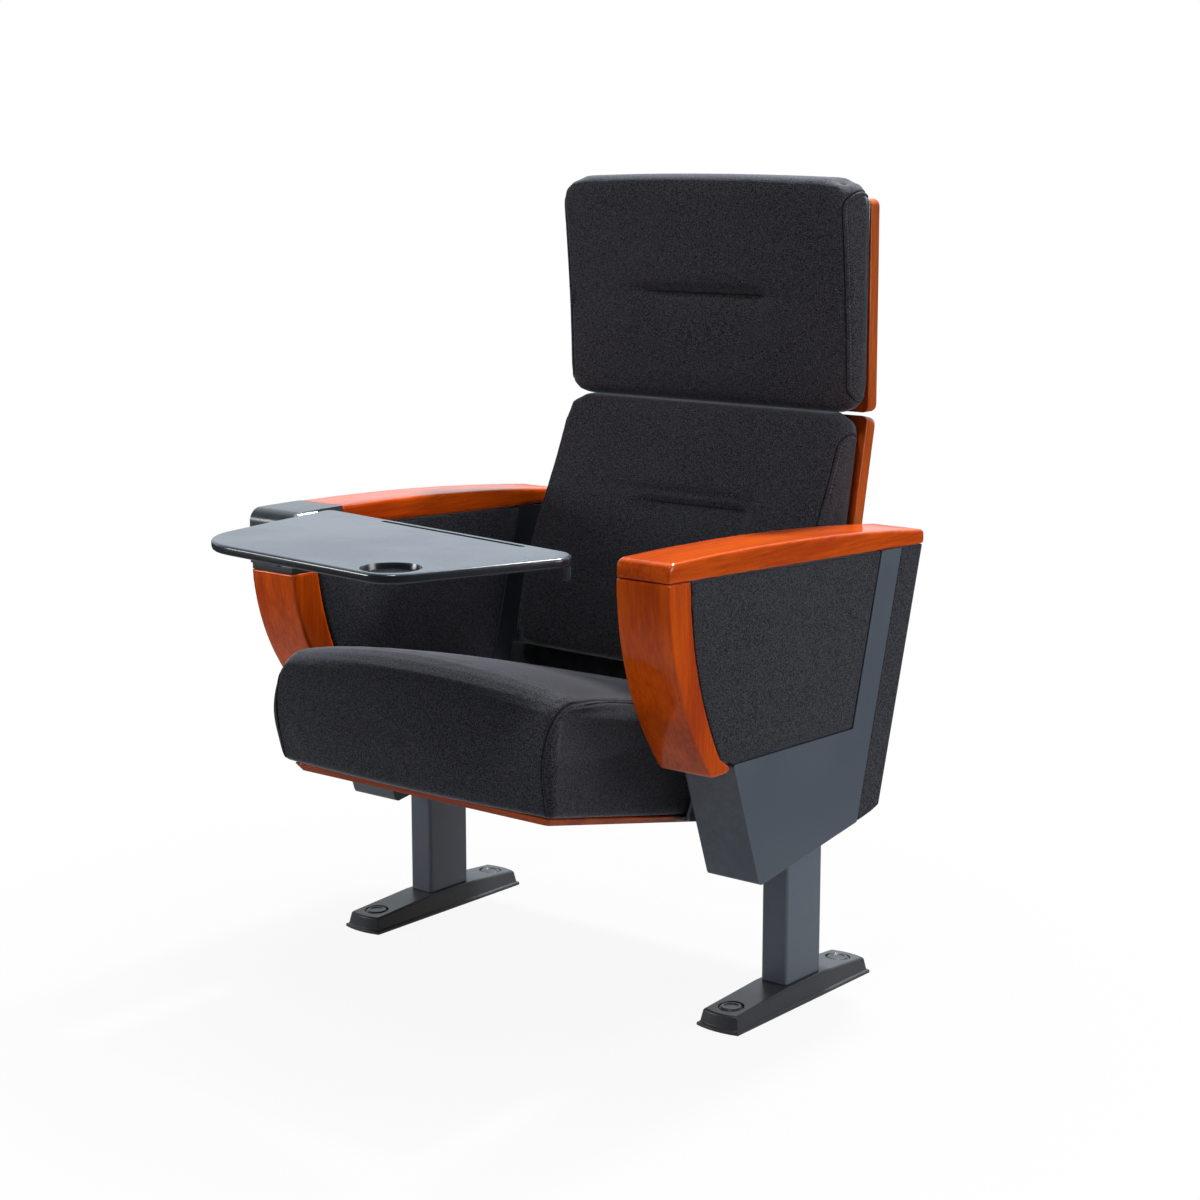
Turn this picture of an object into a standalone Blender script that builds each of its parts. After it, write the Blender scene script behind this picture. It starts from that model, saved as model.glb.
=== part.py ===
"""Lecture-hall armchair: tip-up seat, two-part back, fold-away writing tablet on the sitter's right arm.

Metres, +Z up. The chair faces -Y, and left and right are the sitter's, so left is +X.
Sizes along Y are measured from the middle of the feet; the chair empty then puts the
origin under the middle of the whole chair.
"""
import math

import bmesh
import bpy
from mathutils import Matrix, Vector

# Clearances
FIT = 0.0003             # between pieces that touch
REVEAL = 0.0012          # shadow line round an upholstered panel
TURNING = 0.0006         # between pieces that turn past each other

# Sides: distance between the arms, and their thickness
SIDE_CENTRE = 0.312
ARM_WIDTH = 0.080

# Feet and posts
FOOT_LENGTH = 0.304
FOOT_WIDTH = 0.065
FOOT_LIP = 0.004
FOOT_END_HEIGHT = 0.022
FOOT_MIDDLE_HEIGHT = 0.029
FOOT_TAPER = 0.008
FOOT_BOW = 0.005
CAP_RADIUS = 0.0165
CAP_HEIGHT = 0.0055
CAP_SEAT_DEPTH = 0.003
CAP_INSET = 0.030
ANCHOR_RADIUS = 0.006
POST_WIDTH = 0.040
POST_DEPTH = 0.080
POST_WALL = 0.0025
POST_CORNER = 0.005
POST_OFFSET = 0.0105
POST_HEADROOM = 0.080

# Arms, in side view
ARM_FRONT_Y = -0.309
JOINT_FRONT_Z = 0.5975
ARM_FALL = 2.36          # degrees that the arm falls towards the back
ARM_CAP_FRONT = 0.0235
ARM_CAP_REAR = 0.0195
ARM_CAP_RISE = 0.0087
ARM_CAP_NOSE = 0.014
ARM_CAP_OVERHANG = 0.002
ARM_EDGE = 0.004
FRONT_DEPTH_TOP = 0.044
FRONT_DEPTH_FOOT = 0.0325
FRONT_FOOT_Y = -0.236
FRONT_FOOT_Z = 0.368
TOE_LENGTH = 0.051
TOE_DROP = 0.020
TOE_THICKNESS = 0.009
PANEL_THICKNESS = 0.010
PANEL_SWELL = 0.002
SHELL_LEDGE = 0.0115
SHELL_FALL = 0.005
SHELL_FRONT_GAP = 0.007
SHELL_TOE_Y = -0.120
SHELL_TOE_Z = 0.189
SHELL_HEEL_Y = 0.1006
SHELL_HEEL_Z = 0.2235
SHELL_EDGE = 0.010
STRIPE_FOOT_Y = 0.087
STRIPE_TOP_Y = 0.1487
STRIPE_WIDTH = 0.0475
REAR_STRIP_WIDTH = 0.055

# Tablet, in plan, and its hinge
TABLET_LENGTH = 0.5095   # along its rear edge
TABLET_TURN = 8.0        # degrees between its rear edge and the chair's width
TABLET_END = 0.267       # along its free end
TABLET_SLANT = 19.8      # degrees between its free end and straight ahead
TABLET_INNER = 0.288     # along its inner edge
TABLET_SPREAD = 9.0      # degrees between its inner edge and the arm
TABLET_THICKNESS = 0.012
TABLET_RISE = 0.001      # above the front of the arm
TABLET_SIDE_GAP = 0.012
TABLET_REAR_Y = -0.2505
TABLET_EDGE = 0.0035
TABLET_CORNERS = (0.012, 0.038, 0.045, 0.100)
CUP_RADIUS = 0.036
CUP_DEPTH = 0.007
CUP_FRONT_INSET = 0.0415
CUP_SIDE_INSET = 0.0485
GROOVE_START = 0.131
GROOVE_LENGTH = 0.276
GROOVE_WIDTH = 0.008
GROOVE_DEPTH = 0.003
GROOVE_INSET = 0.0135
HOOK_DROP = 0.0175
HOOK_WIDTH = 0.016
HOOK_INSET = 0.0010
HOOK_THICKNESS = 0.009
NOSE_LENGTH = 0.094
NOSE_WALL = 0.003
BASE_DROP = 0.058
SHORT_FRONT_BOW = 0.037  # how far under the joint the shortened front starts to bow
BASE_THICKNESS = 0.008
BRACKET_DEPTH = 0.028
BRACKET_HEIGHT = 0.052
HINGE_LENGTH = 0.036
HINGE_FRONT_INSET = 0.004
KNUCKLE_RADIUS = 0.0048
KNUCKLE_SHARE = 0.0095
PIN_RADIUS = 0.0022
LEAF_LENGTH = 0.120
LEAF_DEPTH = 0.085
LEAF_INSET = 0.003
LEAF_THICKNESS = 0.003
LEDGE_REACH = 0.024

# Back: both parts hang on a bend line at the gap between them
BEND_Y = 0.2755
BEND_Z = 0.7375
BACK_GAP = 0.008
BACK_SIDE_GAP = 0.027
CUSHION_SIDE_GAP = 0.030
LOWER_RECLINE = 11.5     # degrees
UPPER_LEAN = -0.5        # degrees
LOWER_PANEL_HEIGHT = 0.412
UPPER_PANEL_HEIGHT = 0.285
PANEL_BOARD = 0.0235
PANEL_CORNER = 0.010
PANEL_EDGE = 0.005
STILE_WIDTH = 0.030
STILE_THICKNESS = 0.0045
STILE_SPREAD = 0.170
LOWER_CUSHION_HEIGHT = 0.374
LOWER_CUSHION_TOP = 0.044
LOWER_CUSHION_BASE = 0.099
UPPER_CUSHION_HEIGHT = 0.312
UPPER_CUSHION_BASE = 0.0355
UPPER_CUSHION_TOP = 0.0597
UPPER_WIDEN = 0.006      # how much wider the upper cushion is on each side
UPPER_FLARE = 0.007      # how much wider its top is at the rear, and how much narrower in front
UPPER_DOME = 0.004
BACK_CORNERS = (0.017, 0.028)  # of the cushions, seen from the front: at the bend, and at the top
SOFT_GAP = 0.001
CUSHION_EDGE = 0.011     # roundness of every cushion's side edges
CUSHION_CORNER = 0.014
CUSHION_NOSE = 0.020
LOWER_NOSE = 0.014        # of the lower cushion's top edge
BACK_CROWN = 0.008
CROWN_RUN = 0.050         # from the bend to where the crown is full
CREASE_HALF = 0.122
CREASE_DEPTH = 0.006
CREASE_SPREAD = 0.016     # above and below the sewn line
CREASE_FADE = 0.040       # along it, at each end
UPPER_CREASE = 0.158
LOWER_CREASE = 0.137
RAIL_HEIGHT = 0.026
RAIL_DEPTH = 0.066
RAIL_DROP = 0.001
RAIL_CORNER = 0.004

# Seat, measured from its pivot with the seat level; it rests tilted back
PIVOT_Y = -0.060
PIVOT_Z = 0.285
SEAT_TILT = 11.5         # degrees
SEAT_SIDE_GAP = 0.041
PAN_UNDER = 0.050
PAN_THICKNESS = 0.0105
PAN_CORNER = 0.006
PAN_FRONT = 0.297
PAN_REAR = 0.115
PAN_FLARE = 0.008
PAN_SIDE_INSET = 0.013
SEAT_CUSHION_HEIGHT = 0.1465
SEAT_CUSHION_FRONT = 0.340
SEAT_CUSHION_FOOT = 0.315
SEAT_CUSHION_BULGE = 0.006
SEAT_FLARE = 0.008       # how much wider the front of the cushion is
SEAT_BOW = 0.010         # of its front, seen from above
SEAT_NOSE_RADIUS = 0.050
SEAT_CROWN = 0.022
STRAP_WIDTH = 0.100
STRAP_THICKNESS = 0.004
EAR_THICKNESS = 0.005
EAR_RADIUS = 0.030
EAR_GAP = 0.0025
SEAT_PIN_RADIUS = 0.008
HUB_RADIUS = 0.034
HUB_NECK = 0.022
STOP_RADIUS = 0.008

# Places that follow from the sizes above
ARM_HALF = ARM_WIDTH / 2
ARM_INNER = SIDE_CENTRE - ARM_HALF
TABLET_TOP_Z = JOINT_FRONT_Z + ARM_CAP_FRONT + TABLET_RISE
SEAT_HALF = ARM_INNER - SEAT_SIDE_GAP
PANEL_HALF = ARM_INNER - BACK_SIDE_GAP
CUSHION_HALF = ARM_INNER - CUSHION_SIDE_GAP
REAR_EDGE_Y = STRIPE_TOP_Y + STRIPE_WIDTH + REAR_STRIP_WIDTH
ARM_REAR_Y = REAR_EDGE_Y + ARM_CAP_OVERHANG
EAR_INNER = SEAT_HALF + EAR_GAP
EAR_OUTER = EAR_INNER + EAR_THICKNESS
SIDES = (("left", 1), ("right", -1))


def joint_z(y):
    """Height of the joint under the arm cap."""
    return JOINT_FRONT_Z - (y - ARM_FRONT_Y) * math.tan(math.radians(ARM_FALL))


def bowed_y(z, top_y, top_z, foot_y, foot_z):
    """A side-view arc that leaves the top upright and passes through the foot."""
    run = foot_y - top_y
    rise = top_z - foot_z
    radius = (rise * rise + run * run) / (2 * run)
    drop = top_z - z
    return top_y + radius - math.sqrt(max(radius * radius - drop * drop, 0.0))


def front_face_y(z, bow_z=JOINT_FRONT_Z):
    """Front of the wooden arm front, which starts to bow back at bow_z."""
    return bowed_y(min(z, bow_z), ARM_FRONT_Y, bow_z, FRONT_FOOT_Y, FRONT_FOOT_Z)


def front_back_y(z):
    """Rear edge of the wooden arm front, which the panels meet."""
    top_y = ARM_FRONT_Y + FRONT_DEPTH_TOP
    return bowed_y(z, top_y, JOINT_FRONT_Z, FRONT_FOOT_Y + FRONT_DEPTH_FOOT, FRONT_FOOT_Z)


def spaced(start, end, count):
    return [start + (end - start) * i / (count - 1) for i in range(count)]


def rounded(corners, steps=4):
    """A closed outline through (a, b, radius) corners, each filleted where it has a radius."""
    outline = []
    count = len(corners)
    for i, (a, b, radius) in enumerate(corners):
        here = Vector((a, b))
        back = Vector(corners[i - 1][:2]) - here
        ahead = Vector(corners[(i + 1) % count][:2]) - here
        turn = back.angle(ahead, math.pi)
        if radius <= 0 or turn > math.radians(178):
            outline.append(here)
            continue
        reach = radius / math.tan(turn / 2)
        limit = 0.49 * min(back.length, ahead.length)
        if reach > limit:
            reach = limit
            radius = reach * math.tan(turn / 2)
        centre = here + (back.normalized() + ahead.normalized()).normalized() * (radius / math.sin(turn / 2))
        first = here + back.normalized() * reach - centre
        last = here + ahead.normalized() * reach - centre
        sweep = first.angle_signed(last)
        for k in range(steps + 1):
            outline.append(centre + Matrix.Rotation(-sweep * k / steps, 2) @ first)
    return outline


def on_yz(x):
    return lambda p: Vector((x, p[0], p[1]))


def on_xy(z):
    return lambda p: Vector((p[0], p[1], z))


def on_xz(y):
    return lambda p: Vector((p[0], y, p[1]))


def prism(outline, near, far):
    """A bmesh between two flat copies of an outline; near and far place a point of it."""
    bm = bmesh.new()
    base = bm.faces.new([bm.verts.new(near(p)) for p in outline])
    shift = far(outline[0]) - near(outline[0])
    grown = bmesh.ops.extrude_face_region(bm, geom=[base])["geom"]
    bmesh.ops.translate(bm, vec=shift, verts=[g for g in grown if isinstance(g, bmesh.types.BMVert)])
    bmesh.ops.recalc_face_normals(bm, faces=bm.faces)
    return bm


def round_edges(bm, width, chosen, segments=3):
    edges = [e for e in bm.edges if chosen(e)]
    bmesh.ops.bevel(bm, geom=edges, offset=width, offset_type="OFFSET", segments=segments,
                    profile=0.5, affect="EDGES", clamp_overlap=True, material=-1)
    bmesh.ops.remove_doubles(bm, verts=bm.verts, dist=1e-5)


def lathe(profile, axis, steps=32):
    """A turned piece: profile is (radius, height) pairs, from the axis out and back to it."""
    bm = bmesh.new()
    path = [bm.verts.new((r, 0, h)) for r, h in profile]
    edges = [bm.edges.new(pair) for pair in zip(path, path[1:])]
    bmesh.ops.spin(bm, geom=path + edges, cent=(0, 0, 0), axis=(0, 0, 1), angle=math.tau,
                   steps=steps, use_merge=True, use_duplicate=False)
    bmesh.ops.remove_doubles(bm, verts=bm.verts, dist=1e-6)
    bmesh.ops.recalc_face_normals(bm, faces=bm.faces)
    turn = Vector((0, 0, 1)).rotation_difference(Vector(axis)).to_matrix()
    bmesh.ops.rotate(bm, cent=(0, 0, 0), matrix=turn, verts=bm.verts)
    return bm


def loft(rings):
    """A closed body through rings of matching points, with flat ends."""
    bm = bmesh.new()
    loops = [[bm.verts.new(p) for p in ring] for ring in rings]
    for loop, after in zip(loops, loops[1:]):
        for i in range(len(loop)):
            j = (i + 1) % len(loop)
            bm.faces.new((loop[i], loop[j], after[j], after[i]))
    bm.faces.new(loops[0])
    bm.faces.new(loops[-1])
    bmesh.ops.recalc_face_normals(bm, faces=bm.faces)
    return bm


def block(low, high):
    bm = bmesh.new()
    bmesh.ops.create_cube(bm, size=1)
    low, high = Vector(low), Vector(high)
    bmesh.ops.scale(bm, vec=high - low, verts=bm.verts)
    bmesh.ops.translate(bm, vec=(low + high) / 2, verts=bm.verts)
    return bm


def finish_material(name, colour, roughness, metallic=0.0):
    made = bpy.data.materials.new(name)
    made.use_nodes = True
    made.diffuse_color = (*colour, 1)
    shader = made.node_tree.nodes["Principled BSDF"]
    shader.inputs["Base Color"].default_value = (*colour, 1)
    shader.inputs["Roughness"].default_value = roughness
    shader.inputs["Metallic"].default_value = metallic
    return made


def place(bm, name, finish, parent, smooth=35):
    mesh = bpy.data.meshes.new(name)
    bm.to_mesh(mesh)
    bm.free()
    mesh.shade_smooth()
    mesh.set_sharp_from_angle(angle=math.radians(smooth))
    piece = bpy.data.objects.new(name, mesh)
    mesh.materials.append(finish)
    bpy.context.scene.collection.objects.link(piece)
    piece.parent = parent
    return piece


def carve(piece, bm, operation="DIFFERENCE"):
    """Cuts the shape out of the piece, or joins it on."""
    mesh = bpy.data.meshes.new(piece.name + "_tool")
    bm.to_mesh(mesh)
    bm.free()
    tool = bpy.data.objects.new(mesh.name, mesh)
    bpy.context.scene.collection.objects.link(tool)
    tool.parent = piece.parent
    tool.hide_render = True
    tool.display_type = "WIRE"
    step = piece.modifiers.new("shape", "BOOLEAN")
    step.operation = operation
    step.object = tool


def empty(name, parent, location=(0, 0, 0), tilt=0.0):
    made = bpy.data.objects.new(name, None)
    bpy.context.scene.collection.objects.link(made)
    made.parent = parent
    made.location = location
    made.rotation_euler = (math.radians(tilt), 0, 0)
    return made


def foot(name, x, finish, parent):
    """Arched base plate with a flared lip, bowed ends and a level seat for the post."""
    ends = FOOT_LENGTH / 2
    level = (POST_OFFSET - POST_DEPTH / 2 - POST_CORNER, POST_OFFSET + POST_DEPTH / 2 + POST_CORNER)

    def top_z(y):
        fall = FOOT_MIDDLE_HEIGHT - FOOT_END_HEIGHT
        if y < level[0]:
            return FOOT_MIDDLE_HEIGHT - fall * (level[0] - y) / (level[0] + ends)
        return FOOT_MIDDLE_HEIGHT - fall * max(y - level[1], 0.0) / (ends - level[1])

    across = spaced(-1, 1, 7)
    stretch = 6
    rings = []
    for share, height in ((0.0, 0.0), (0.0, FOOT_LIP), (0.4, FOOT_LIP * 1.3), (0.75, None), (1.0, None)):
        half_x = FOOT_WIDTH / 2 - FOOT_TAPER * share
        half_y = ends - FOOT_TAPER * share
        along = spaced(-half_y, level[0], stretch)[1:] + spaced(level[1], half_y, stretch)[:-1]
        plan = [(u * half_x, -half_y - FOOT_BOW * (1 - u * u)) for u in across]
        plan += [(half_x, y) for y in along]
        plan += [(-u * half_x, half_y + FOOT_BOW * (1 - u * u)) for u in across]
        plan += [(-half_x, y) for y in reversed(along)]
        short = 0.002 if share < 1 else 0.0
        rings.append([Vector((x + a, b, top_z(b) - short if height is None else height)) for a, b in plan])
    bm = bmesh.new()
    loops = [[bm.verts.new(p) for p in ring] for ring in rings]
    for loop, after in zip(loops, loops[1:]):
        for i in range(len(loop)):
            j = (i + 1) % len(loop)
            bm.faces.new((loop[i], loop[j], after[j], after[i]))
    bm.faces.new(loops[0])
    top = loops[-1]
    side = len(across) + len(along)
    bm.faces.new(top[:len(across)] + [top[len(across)], top[-1]])
    for i in range(len(along) - 1):
        right = len(across) + i
        bm.faces.new((top[right], top[right + 1], top[-2 - i], top[-1 - i]))
    bm.faces.new([top[side - 1]] + top[side:side + len(across)] + [top[side + len(across)]])
    bmesh.ops.recalc_face_normals(bm, faces=bm.faces)
    made = place(bm, name, finish, parent)
    seat, over, under = cap_seat_z(), FOOT_MIDDLE_HEIGHT * 1.5, -FOOT_LIP
    pocket = CAP_RADIUS + FIT
    for _, y in cap_places():
        bore = lathe([(0, over), (pocket, over), (pocket, seat), (ANCHOR_RADIUS, seat),
                      (ANCHOR_RADIUS, under), (0, under)], (0, 0, 1), 24)
        bmesh.ops.translate(bore, vec=(x, y, 0), verts=bore.verts)
        carve(made, bore)
    return made


def cap_places():
    reach = FOOT_LENGTH / 2 - CAP_INSET
    return (("front", -reach), ("rear", reach))


def cap_seat_z():
    return FOOT_END_HEIGHT - CAP_SEAT_DEPTH


def foot_cap(name, x, y, finish, parent):
    """Anchor cover: a low dished cap with a raised rim."""
    r, h = CAP_RADIUS, CAP_HEIGHT
    rim = r * 0.72
    profile = [(0, h * 0.75), (rim - 0.003, h * 0.75), (rim - 0.0015, h), (rim + 0.001, h),
               (rim + 0.0025, h * 0.7), (r - 0.001, h * 0.6), (r, h * 0.45), (r, FIT), (0, FIT)]
    bm = lathe(profile, (0, 0, 1), 24)
    bmesh.ops.translate(bm, vec=(x, y, cap_seat_z()), verts=bm.verts)
    return place(bm, name, finish, parent)


def post(name, x, finish, parent):
    def section(grow):
        a, b, r = POST_WIDTH / 2 + grow, POST_DEPTH / 2 + grow, POST_CORNER + grow
        corners = [(x - a, POST_OFFSET - b, r), (x + a, POST_OFFSET - b, r),
                   (x + a, POST_OFFSET + b, r), (x - a, POST_OFFSET + b, r)]
        return rounded(corners, 3)

    bottom, top = FOOT_MIDDLE_HEIGHT + FIT, joint_z(POST_OFFSET) - POST_HEADROOM
    made = place(prism(section(0.0), on_xy(bottom), on_xy(top)), name, finish, parent)
    carve(made, prism(section(-POST_WALL), on_xy(bottom - POST_WALL), on_xy(top + POST_WALL)))
    return made


def post_channel(x):
    """Room for the post inside the pieces round it."""
    a, b = POST_WIDTH / 2 + FIT, POST_DEPTH / 2 + FIT
    top = joint_z(POST_OFFSET) - POST_HEADROOM + FIT
    return block((x - a, POST_OFFSET - b, 0), (x + a, POST_OFFSET + b, top))


def toe_tip():
    return FRONT_FOOT_Y + TOE_LENGTH, FRONT_FOOT_Z - TOE_DROP + TOE_THICKNESS


def shell_corner():
    """Front upper corner of the side shell, behind the toe of the arm front."""
    return toe_tip()[0] + SHELL_FRONT_GAP, FRONT_FOOT_Z - SHELL_LEDGE


def stripe_foot():
    return STRIPE_FOOT_Y, shell_corner()[1] - SHELL_FALL


def side_shell(name, x, finish, parent):
    """Lower housing and the slanted stripe behind the panels, one moulding round the post."""
    top_y, top_z = shell_corner()
    rear_y = STRIPE_TOP_Y + STRIPE_WIDTH
    outline = rounded([
        (top_y, top_z, 0.003),
        (SHELL_TOE_Y, SHELL_TOE_Z, 0.008),
        (SHELL_HEEL_Y, SHELL_HEEL_Z, 0.003),
        (rear_y, joint_z(rear_y) - FIT, 0),
        (STRIPE_TOP_Y, joint_z(STRIPE_TOP_Y) - FIT, 0),
        (*stripe_foot(), 0)])
    bm = prism(outline, on_yz(x - ARM_HALF), on_yz(x + ARM_HALF))
    front = top_y + (SHELL_TOE_Y - top_y) * 0.5

    def outer_front(edge):
        middle = (edge.verts[0].co + edge.verts[1].co) / 2
        flat = abs(edge.verts[0].co.x - edge.verts[1].co.x) < 1e-6
        below = middle.z < SHELL_HEEL_Z + (middle.y - SHELL_HEEL_Y) * 0.1 + 0.003
        ahead = middle.y < SHELL_TOE_Y and middle.z < top_z - 0.004
        return flat and (below or ahead) and middle.y < max(SHELL_HEEL_Y, front)

    round_edges(bm, SHELL_EDGE, outer_front)
    made = place(bm, name, finish, parent)
    carve(made, post_channel(x))
    return made


def panel_outline(gap):
    """The arm panel's side view: behind the bent front, under the cap, over and ahead of the shell."""
    top_front = front_back_y(JOINT_FRONT_Z) + gap
    heights = spaced(joint_z(top_front) - FIT - gap, FRONT_FOOT_Z + gap, 9)
    toe_y, toe_z = toe_tip()
    foot_y, foot_z = stripe_foot()
    corner_y, corner_z = shell_corner()
    outline = [Vector((front_back_y(z) + gap, z)) for z in heights]
    outline += [Vector((toe_y, toe_z + TOE_THICKNESS * 0.35 + gap)), Vector((corner_y + gap, corner_z + gap))]
    outline += [Vector((foot_y - gap, foot_z + gap))]
    outline += [Vector((STRIPE_TOP_Y - gap, joint_z(STRIPE_TOP_Y) - FIT - gap))]
    return outline


def arm_core(name, x, finish, parent):
    half = ARM_HALF - PANEL_THICKNESS - FIT
    made = place(prism(panel_outline(FIT), on_yz(x - half), on_yz(x + half)), name, finish, parent)
    carve(made, post_channel(x))
    return made


def arm_panel(name, x, side, finish, parent):
    """Fabric-covered board, softly swollen, flush with the arm's face. side is +1 or -1 along X."""
    inner, outer = x + side * (ARM_HALF - PANEL_THICKNESS), x + side * (ARM_HALF - PANEL_SWELL)
    bm = prism(panel_outline(REVEAL), on_yz(inner), on_yz(outer))
    face = max(bm.faces, key=lambda f: side * f.calc_center_median().x)
    for width, rise in ((0.0015, 0.5), (0.004, 0.35), (0.018, 0.15)):
        bmesh.ops.inset_region(bm, faces=[face], thickness=width, depth=0)
        bmesh.ops.translate(bm, vec=(side * PANEL_SWELL * rise, 0, 0), verts=face.verts)
    return place(bm, name, finish, parent)


def rear_strip(name, x, finish, parent):
    """Fabric-covered rear edge of the arm, as wide as the arm."""
    front_y = STRIPE_TOP_Y + STRIPE_WIDTH + REVEAL
    heel_y, heel_z = SHELL_HEEL_Y + REVEAL, SHELL_HEEL_Z + 0.001
    lift = (SHELL_HEEL_Z - SHELL_TOE_Z) / (SHELL_HEEL_Y - SHELL_TOE_Y) * REAR_STRIP_WIDTH
    depth = REAR_STRIP_WIDTH - REVEAL
    outline = rounded([
        (heel_y, heel_z, 0.002),
        (heel_y + depth, heel_z + lift, 0.006),
        (front_y + depth, joint_z(front_y + depth) - FIT, 0),
        (front_y, joint_z(front_y) - FIT, 0)])
    bm = prism(outline, on_yz(x - ARM_HALF), on_yz(x + ARM_HALF))
    round_edges(bm, 0.006, lambda e: abs(e.verts[0].co.x - e.verts[1].co.x) < 1e-6
                and min(v.co.y - heel_y - (v.co.z - heel_z) * (front_y - heel_y)
                        / (joint_z(front_y) - heel_z) for v in e.verts) > depth * 0.6)
    return place(bm, name, finish, parent)


def cap_top(start_y, end_y, count):
    """The arm's crowned upper line between two places along it."""
    front = Vector((ARM_FRONT_Y, JOINT_FRONT_Z + ARM_CAP_FRONT))
    rear = Vector((ARM_REAR_Y, joint_z(ARM_REAR_Y) + ARM_CAP_REAR))
    points = []
    for y in spaced(start_y, end_y, count):
        share = (y - front.x) / (rear.x - front.x)
        points.append((y, front.y + (rear.y - front.y) * share + 4 * ARM_CAP_RISE * share * (1 - share), 0.0))
    return points


def on_top(edge):
    """True for the long edges along an arm's upper line and down its front."""
    flat = abs(edge.verts[0].co.x - edge.verts[1].co.x) < 1e-6
    high = min(v.co.z - joint_z(v.co.y) for v in edge.verts) > ARM_CAP_REAR * 0.35
    ahead = max(v.co.y for v in edge.verts) < ARM_FRONT_Y + 1e-6
    return flat and (high or ahead)


def arm_cap(name, x, start_y, finish, parent):
    """Wooden armrest. A cap that starts at the arm's front has a rounded nose."""
    nose = start_y <= ARM_FRONT_Y
    top = cap_top(start_y, ARM_REAR_Y, 15)
    corners = [(start_y, joint_z(start_y), 0.0)]
    corners += [(*top[0][:2], ARM_CAP_NOSE if nose else 0.0)] + top[2:-1] + [(*top[-1][:2], 0.007)]
    corners += [(ARM_REAR_Y, joint_z(ARM_REAR_Y), 0.003)]
    bm = prism(rounded(corners), on_yz(x - ARM_HALF), on_yz(x + ARM_HALF))
    round_edges(bm, ARM_EDGE, on_top)
    return place(bm, name, finish, parent)


def arm_front(name, x, top_z, bow_z, finish, parent):
    """Bent wooden front, bowed from the arm down to a hooked toe under the panel."""
    toe_y, toe_z = toe_tip()
    bottom = FRONT_FOOT_Z - TOE_DROP
    slope = (front_face_y(FRONT_FOOT_Z, bow_z) - front_face_y(FRONT_FOOT_Z + 0.01, bow_z)) / 0.01
    heel_y = FRONT_FOOT_Y + slope * TOE_DROP
    heights = spaced(top_z, FRONT_FOOT_Z, 12)
    corners = [(front_face_y(z, bow_z), z, 0.0) for z in heights]
    corners += [(heel_y, bottom, 0.012), (toe_y, bottom + 0.001, 0.003), (toe_y, toe_z, 0.003)]
    back_top = min(top_z, joint_z(front_back_y(top_z)) - FIT)
    corners += [(front_back_y(z), z, 0.0) for z in spaced(FRONT_FOOT_Z, back_top, 12)]
    bm = prism(rounded(corners), on_yz(x - ARM_HALF), on_yz(x + ARM_HALF))

    def bowed_edge(edge):
        flat = abs(edge.verts[0].co.x - edge.verts[1].co.x) < 1e-6
        low = min(v.co.z for v in edge.verts) < FRONT_FOOT_Z - TOE_DROP * 0.2
        behind = [v.co.y - front_face_y(max(v.co.z, FRONT_FOOT_Z), bow_z) for v in edge.verts]
        ahead = max(behind) < FRONT_DEPTH_FOOT * 0.5
        return flat and ahead and not low and abs(edge.verts[0].co.z - edge.verts[1].co.z) > 1e-5

    round_edges(bm, ARM_EDGE, bowed_edge)
    return place(bm, name, finish, parent)


def cushion(name, profile, half, finish, parent, crown, swell, crease=None):
    """An upholstered body: a side-view profile carried across the width, with rounded sides and a crown.

    profile is (y, z) points. swell(y, z) adds to the half width there, and crown(place, normal) is how far
    the middle of the width stands out. crease is (z, half width, depth) of a sewn line across the front.
    """
    count = len(profile)
    normals = []
    for i in range(count):
        along = profile[(i + 1) % count] - profile[i - 1]
        normals.append(Vector((along.y, -along.x)).normalized())
    turned = sum(a.x * b.y - b.x * a.y for a, b in zip(profile, profile[1:] + profile[:1]))
    if turned < 0:
        normals = [-n for n in normals]
    quarter = [(math.sin(math.radians(a)), math.cos(math.radians(a))) for a in (0, 30, 60, 90)]
    stations = [(-1, c, s) for s, c in quarter]
    stations += [(u, 0.0, 1.0) for u in spaced(-0.8, 0.8, 9)]
    stations += [(1, c, s) for s, c in reversed(quarter)]
    rings = []
    for share, outward, full in stations:
        ring = []
        for here, normal in zip(profile, normals):
            width = half + swell(*here)
            x = share * (width - CUSHION_EDGE * (1 - outward))
            rise = crown(here, normal) * max(1 - (x / width) ** 2, 0.0)
            if crease:
                near = max(1 - abs(here.y - crease[0]) / CREASE_SPREAD, 0.0)
                inside = min(max((crease[1] - abs(x)) / CREASE_FADE + 0.5, 0.0), 1.0)
                rise -= crease[2] * near * near * inside * max(-normal.x, 0.0)
            spot = here + normal * (rise - CUSHION_EDGE * (1 - full))
            ring.append(Vector((x, spot.x, spot.y)))
        rings.append(ring)
    return place(loft(rings), name, finish, parent, 60)


def fade(share):
    """0 to 1 with no kink at either end."""
    share = min(max(share, 0.0), 1.0)
    return share * share * (3 - 2 * share)


def corner_cut(over, radius):
    """How far a rounded corner draws a cushion's side in, where it is over the start of the rounding."""
    return radius - math.sqrt(radius * radius - min(max(over, 0.0), radius) ** 2)


def seat_profile():
    floor = PAN_THICKNESS - PAN_UNDER + FIT
    top = floor + SEAT_CUSHION_HEIGHT
    waist = floor + SEAT_CUSHION_HEIGHT * 0.47
    corners = [(PAN_REAR, floor, CUSHION_CORNER), (-SEAT_CUSHION_FOOT, floor, CUSHION_CORNER),
               (-SEAT_CUSHION_FRONT - 0.003, waist, 0.12),
               (-SEAT_CUSHION_FRONT + 0.002, top, SEAT_NOSE_RADIUS)]
    corners += [(y, top, 0.0) for y in spaced(-SEAT_CUSHION_FRONT * 0.6, PAN_REAR * 0.2, 4)]
    corners += [(PAN_REAR, top, 0.028)]
    return rounded(corners, 6)


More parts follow.
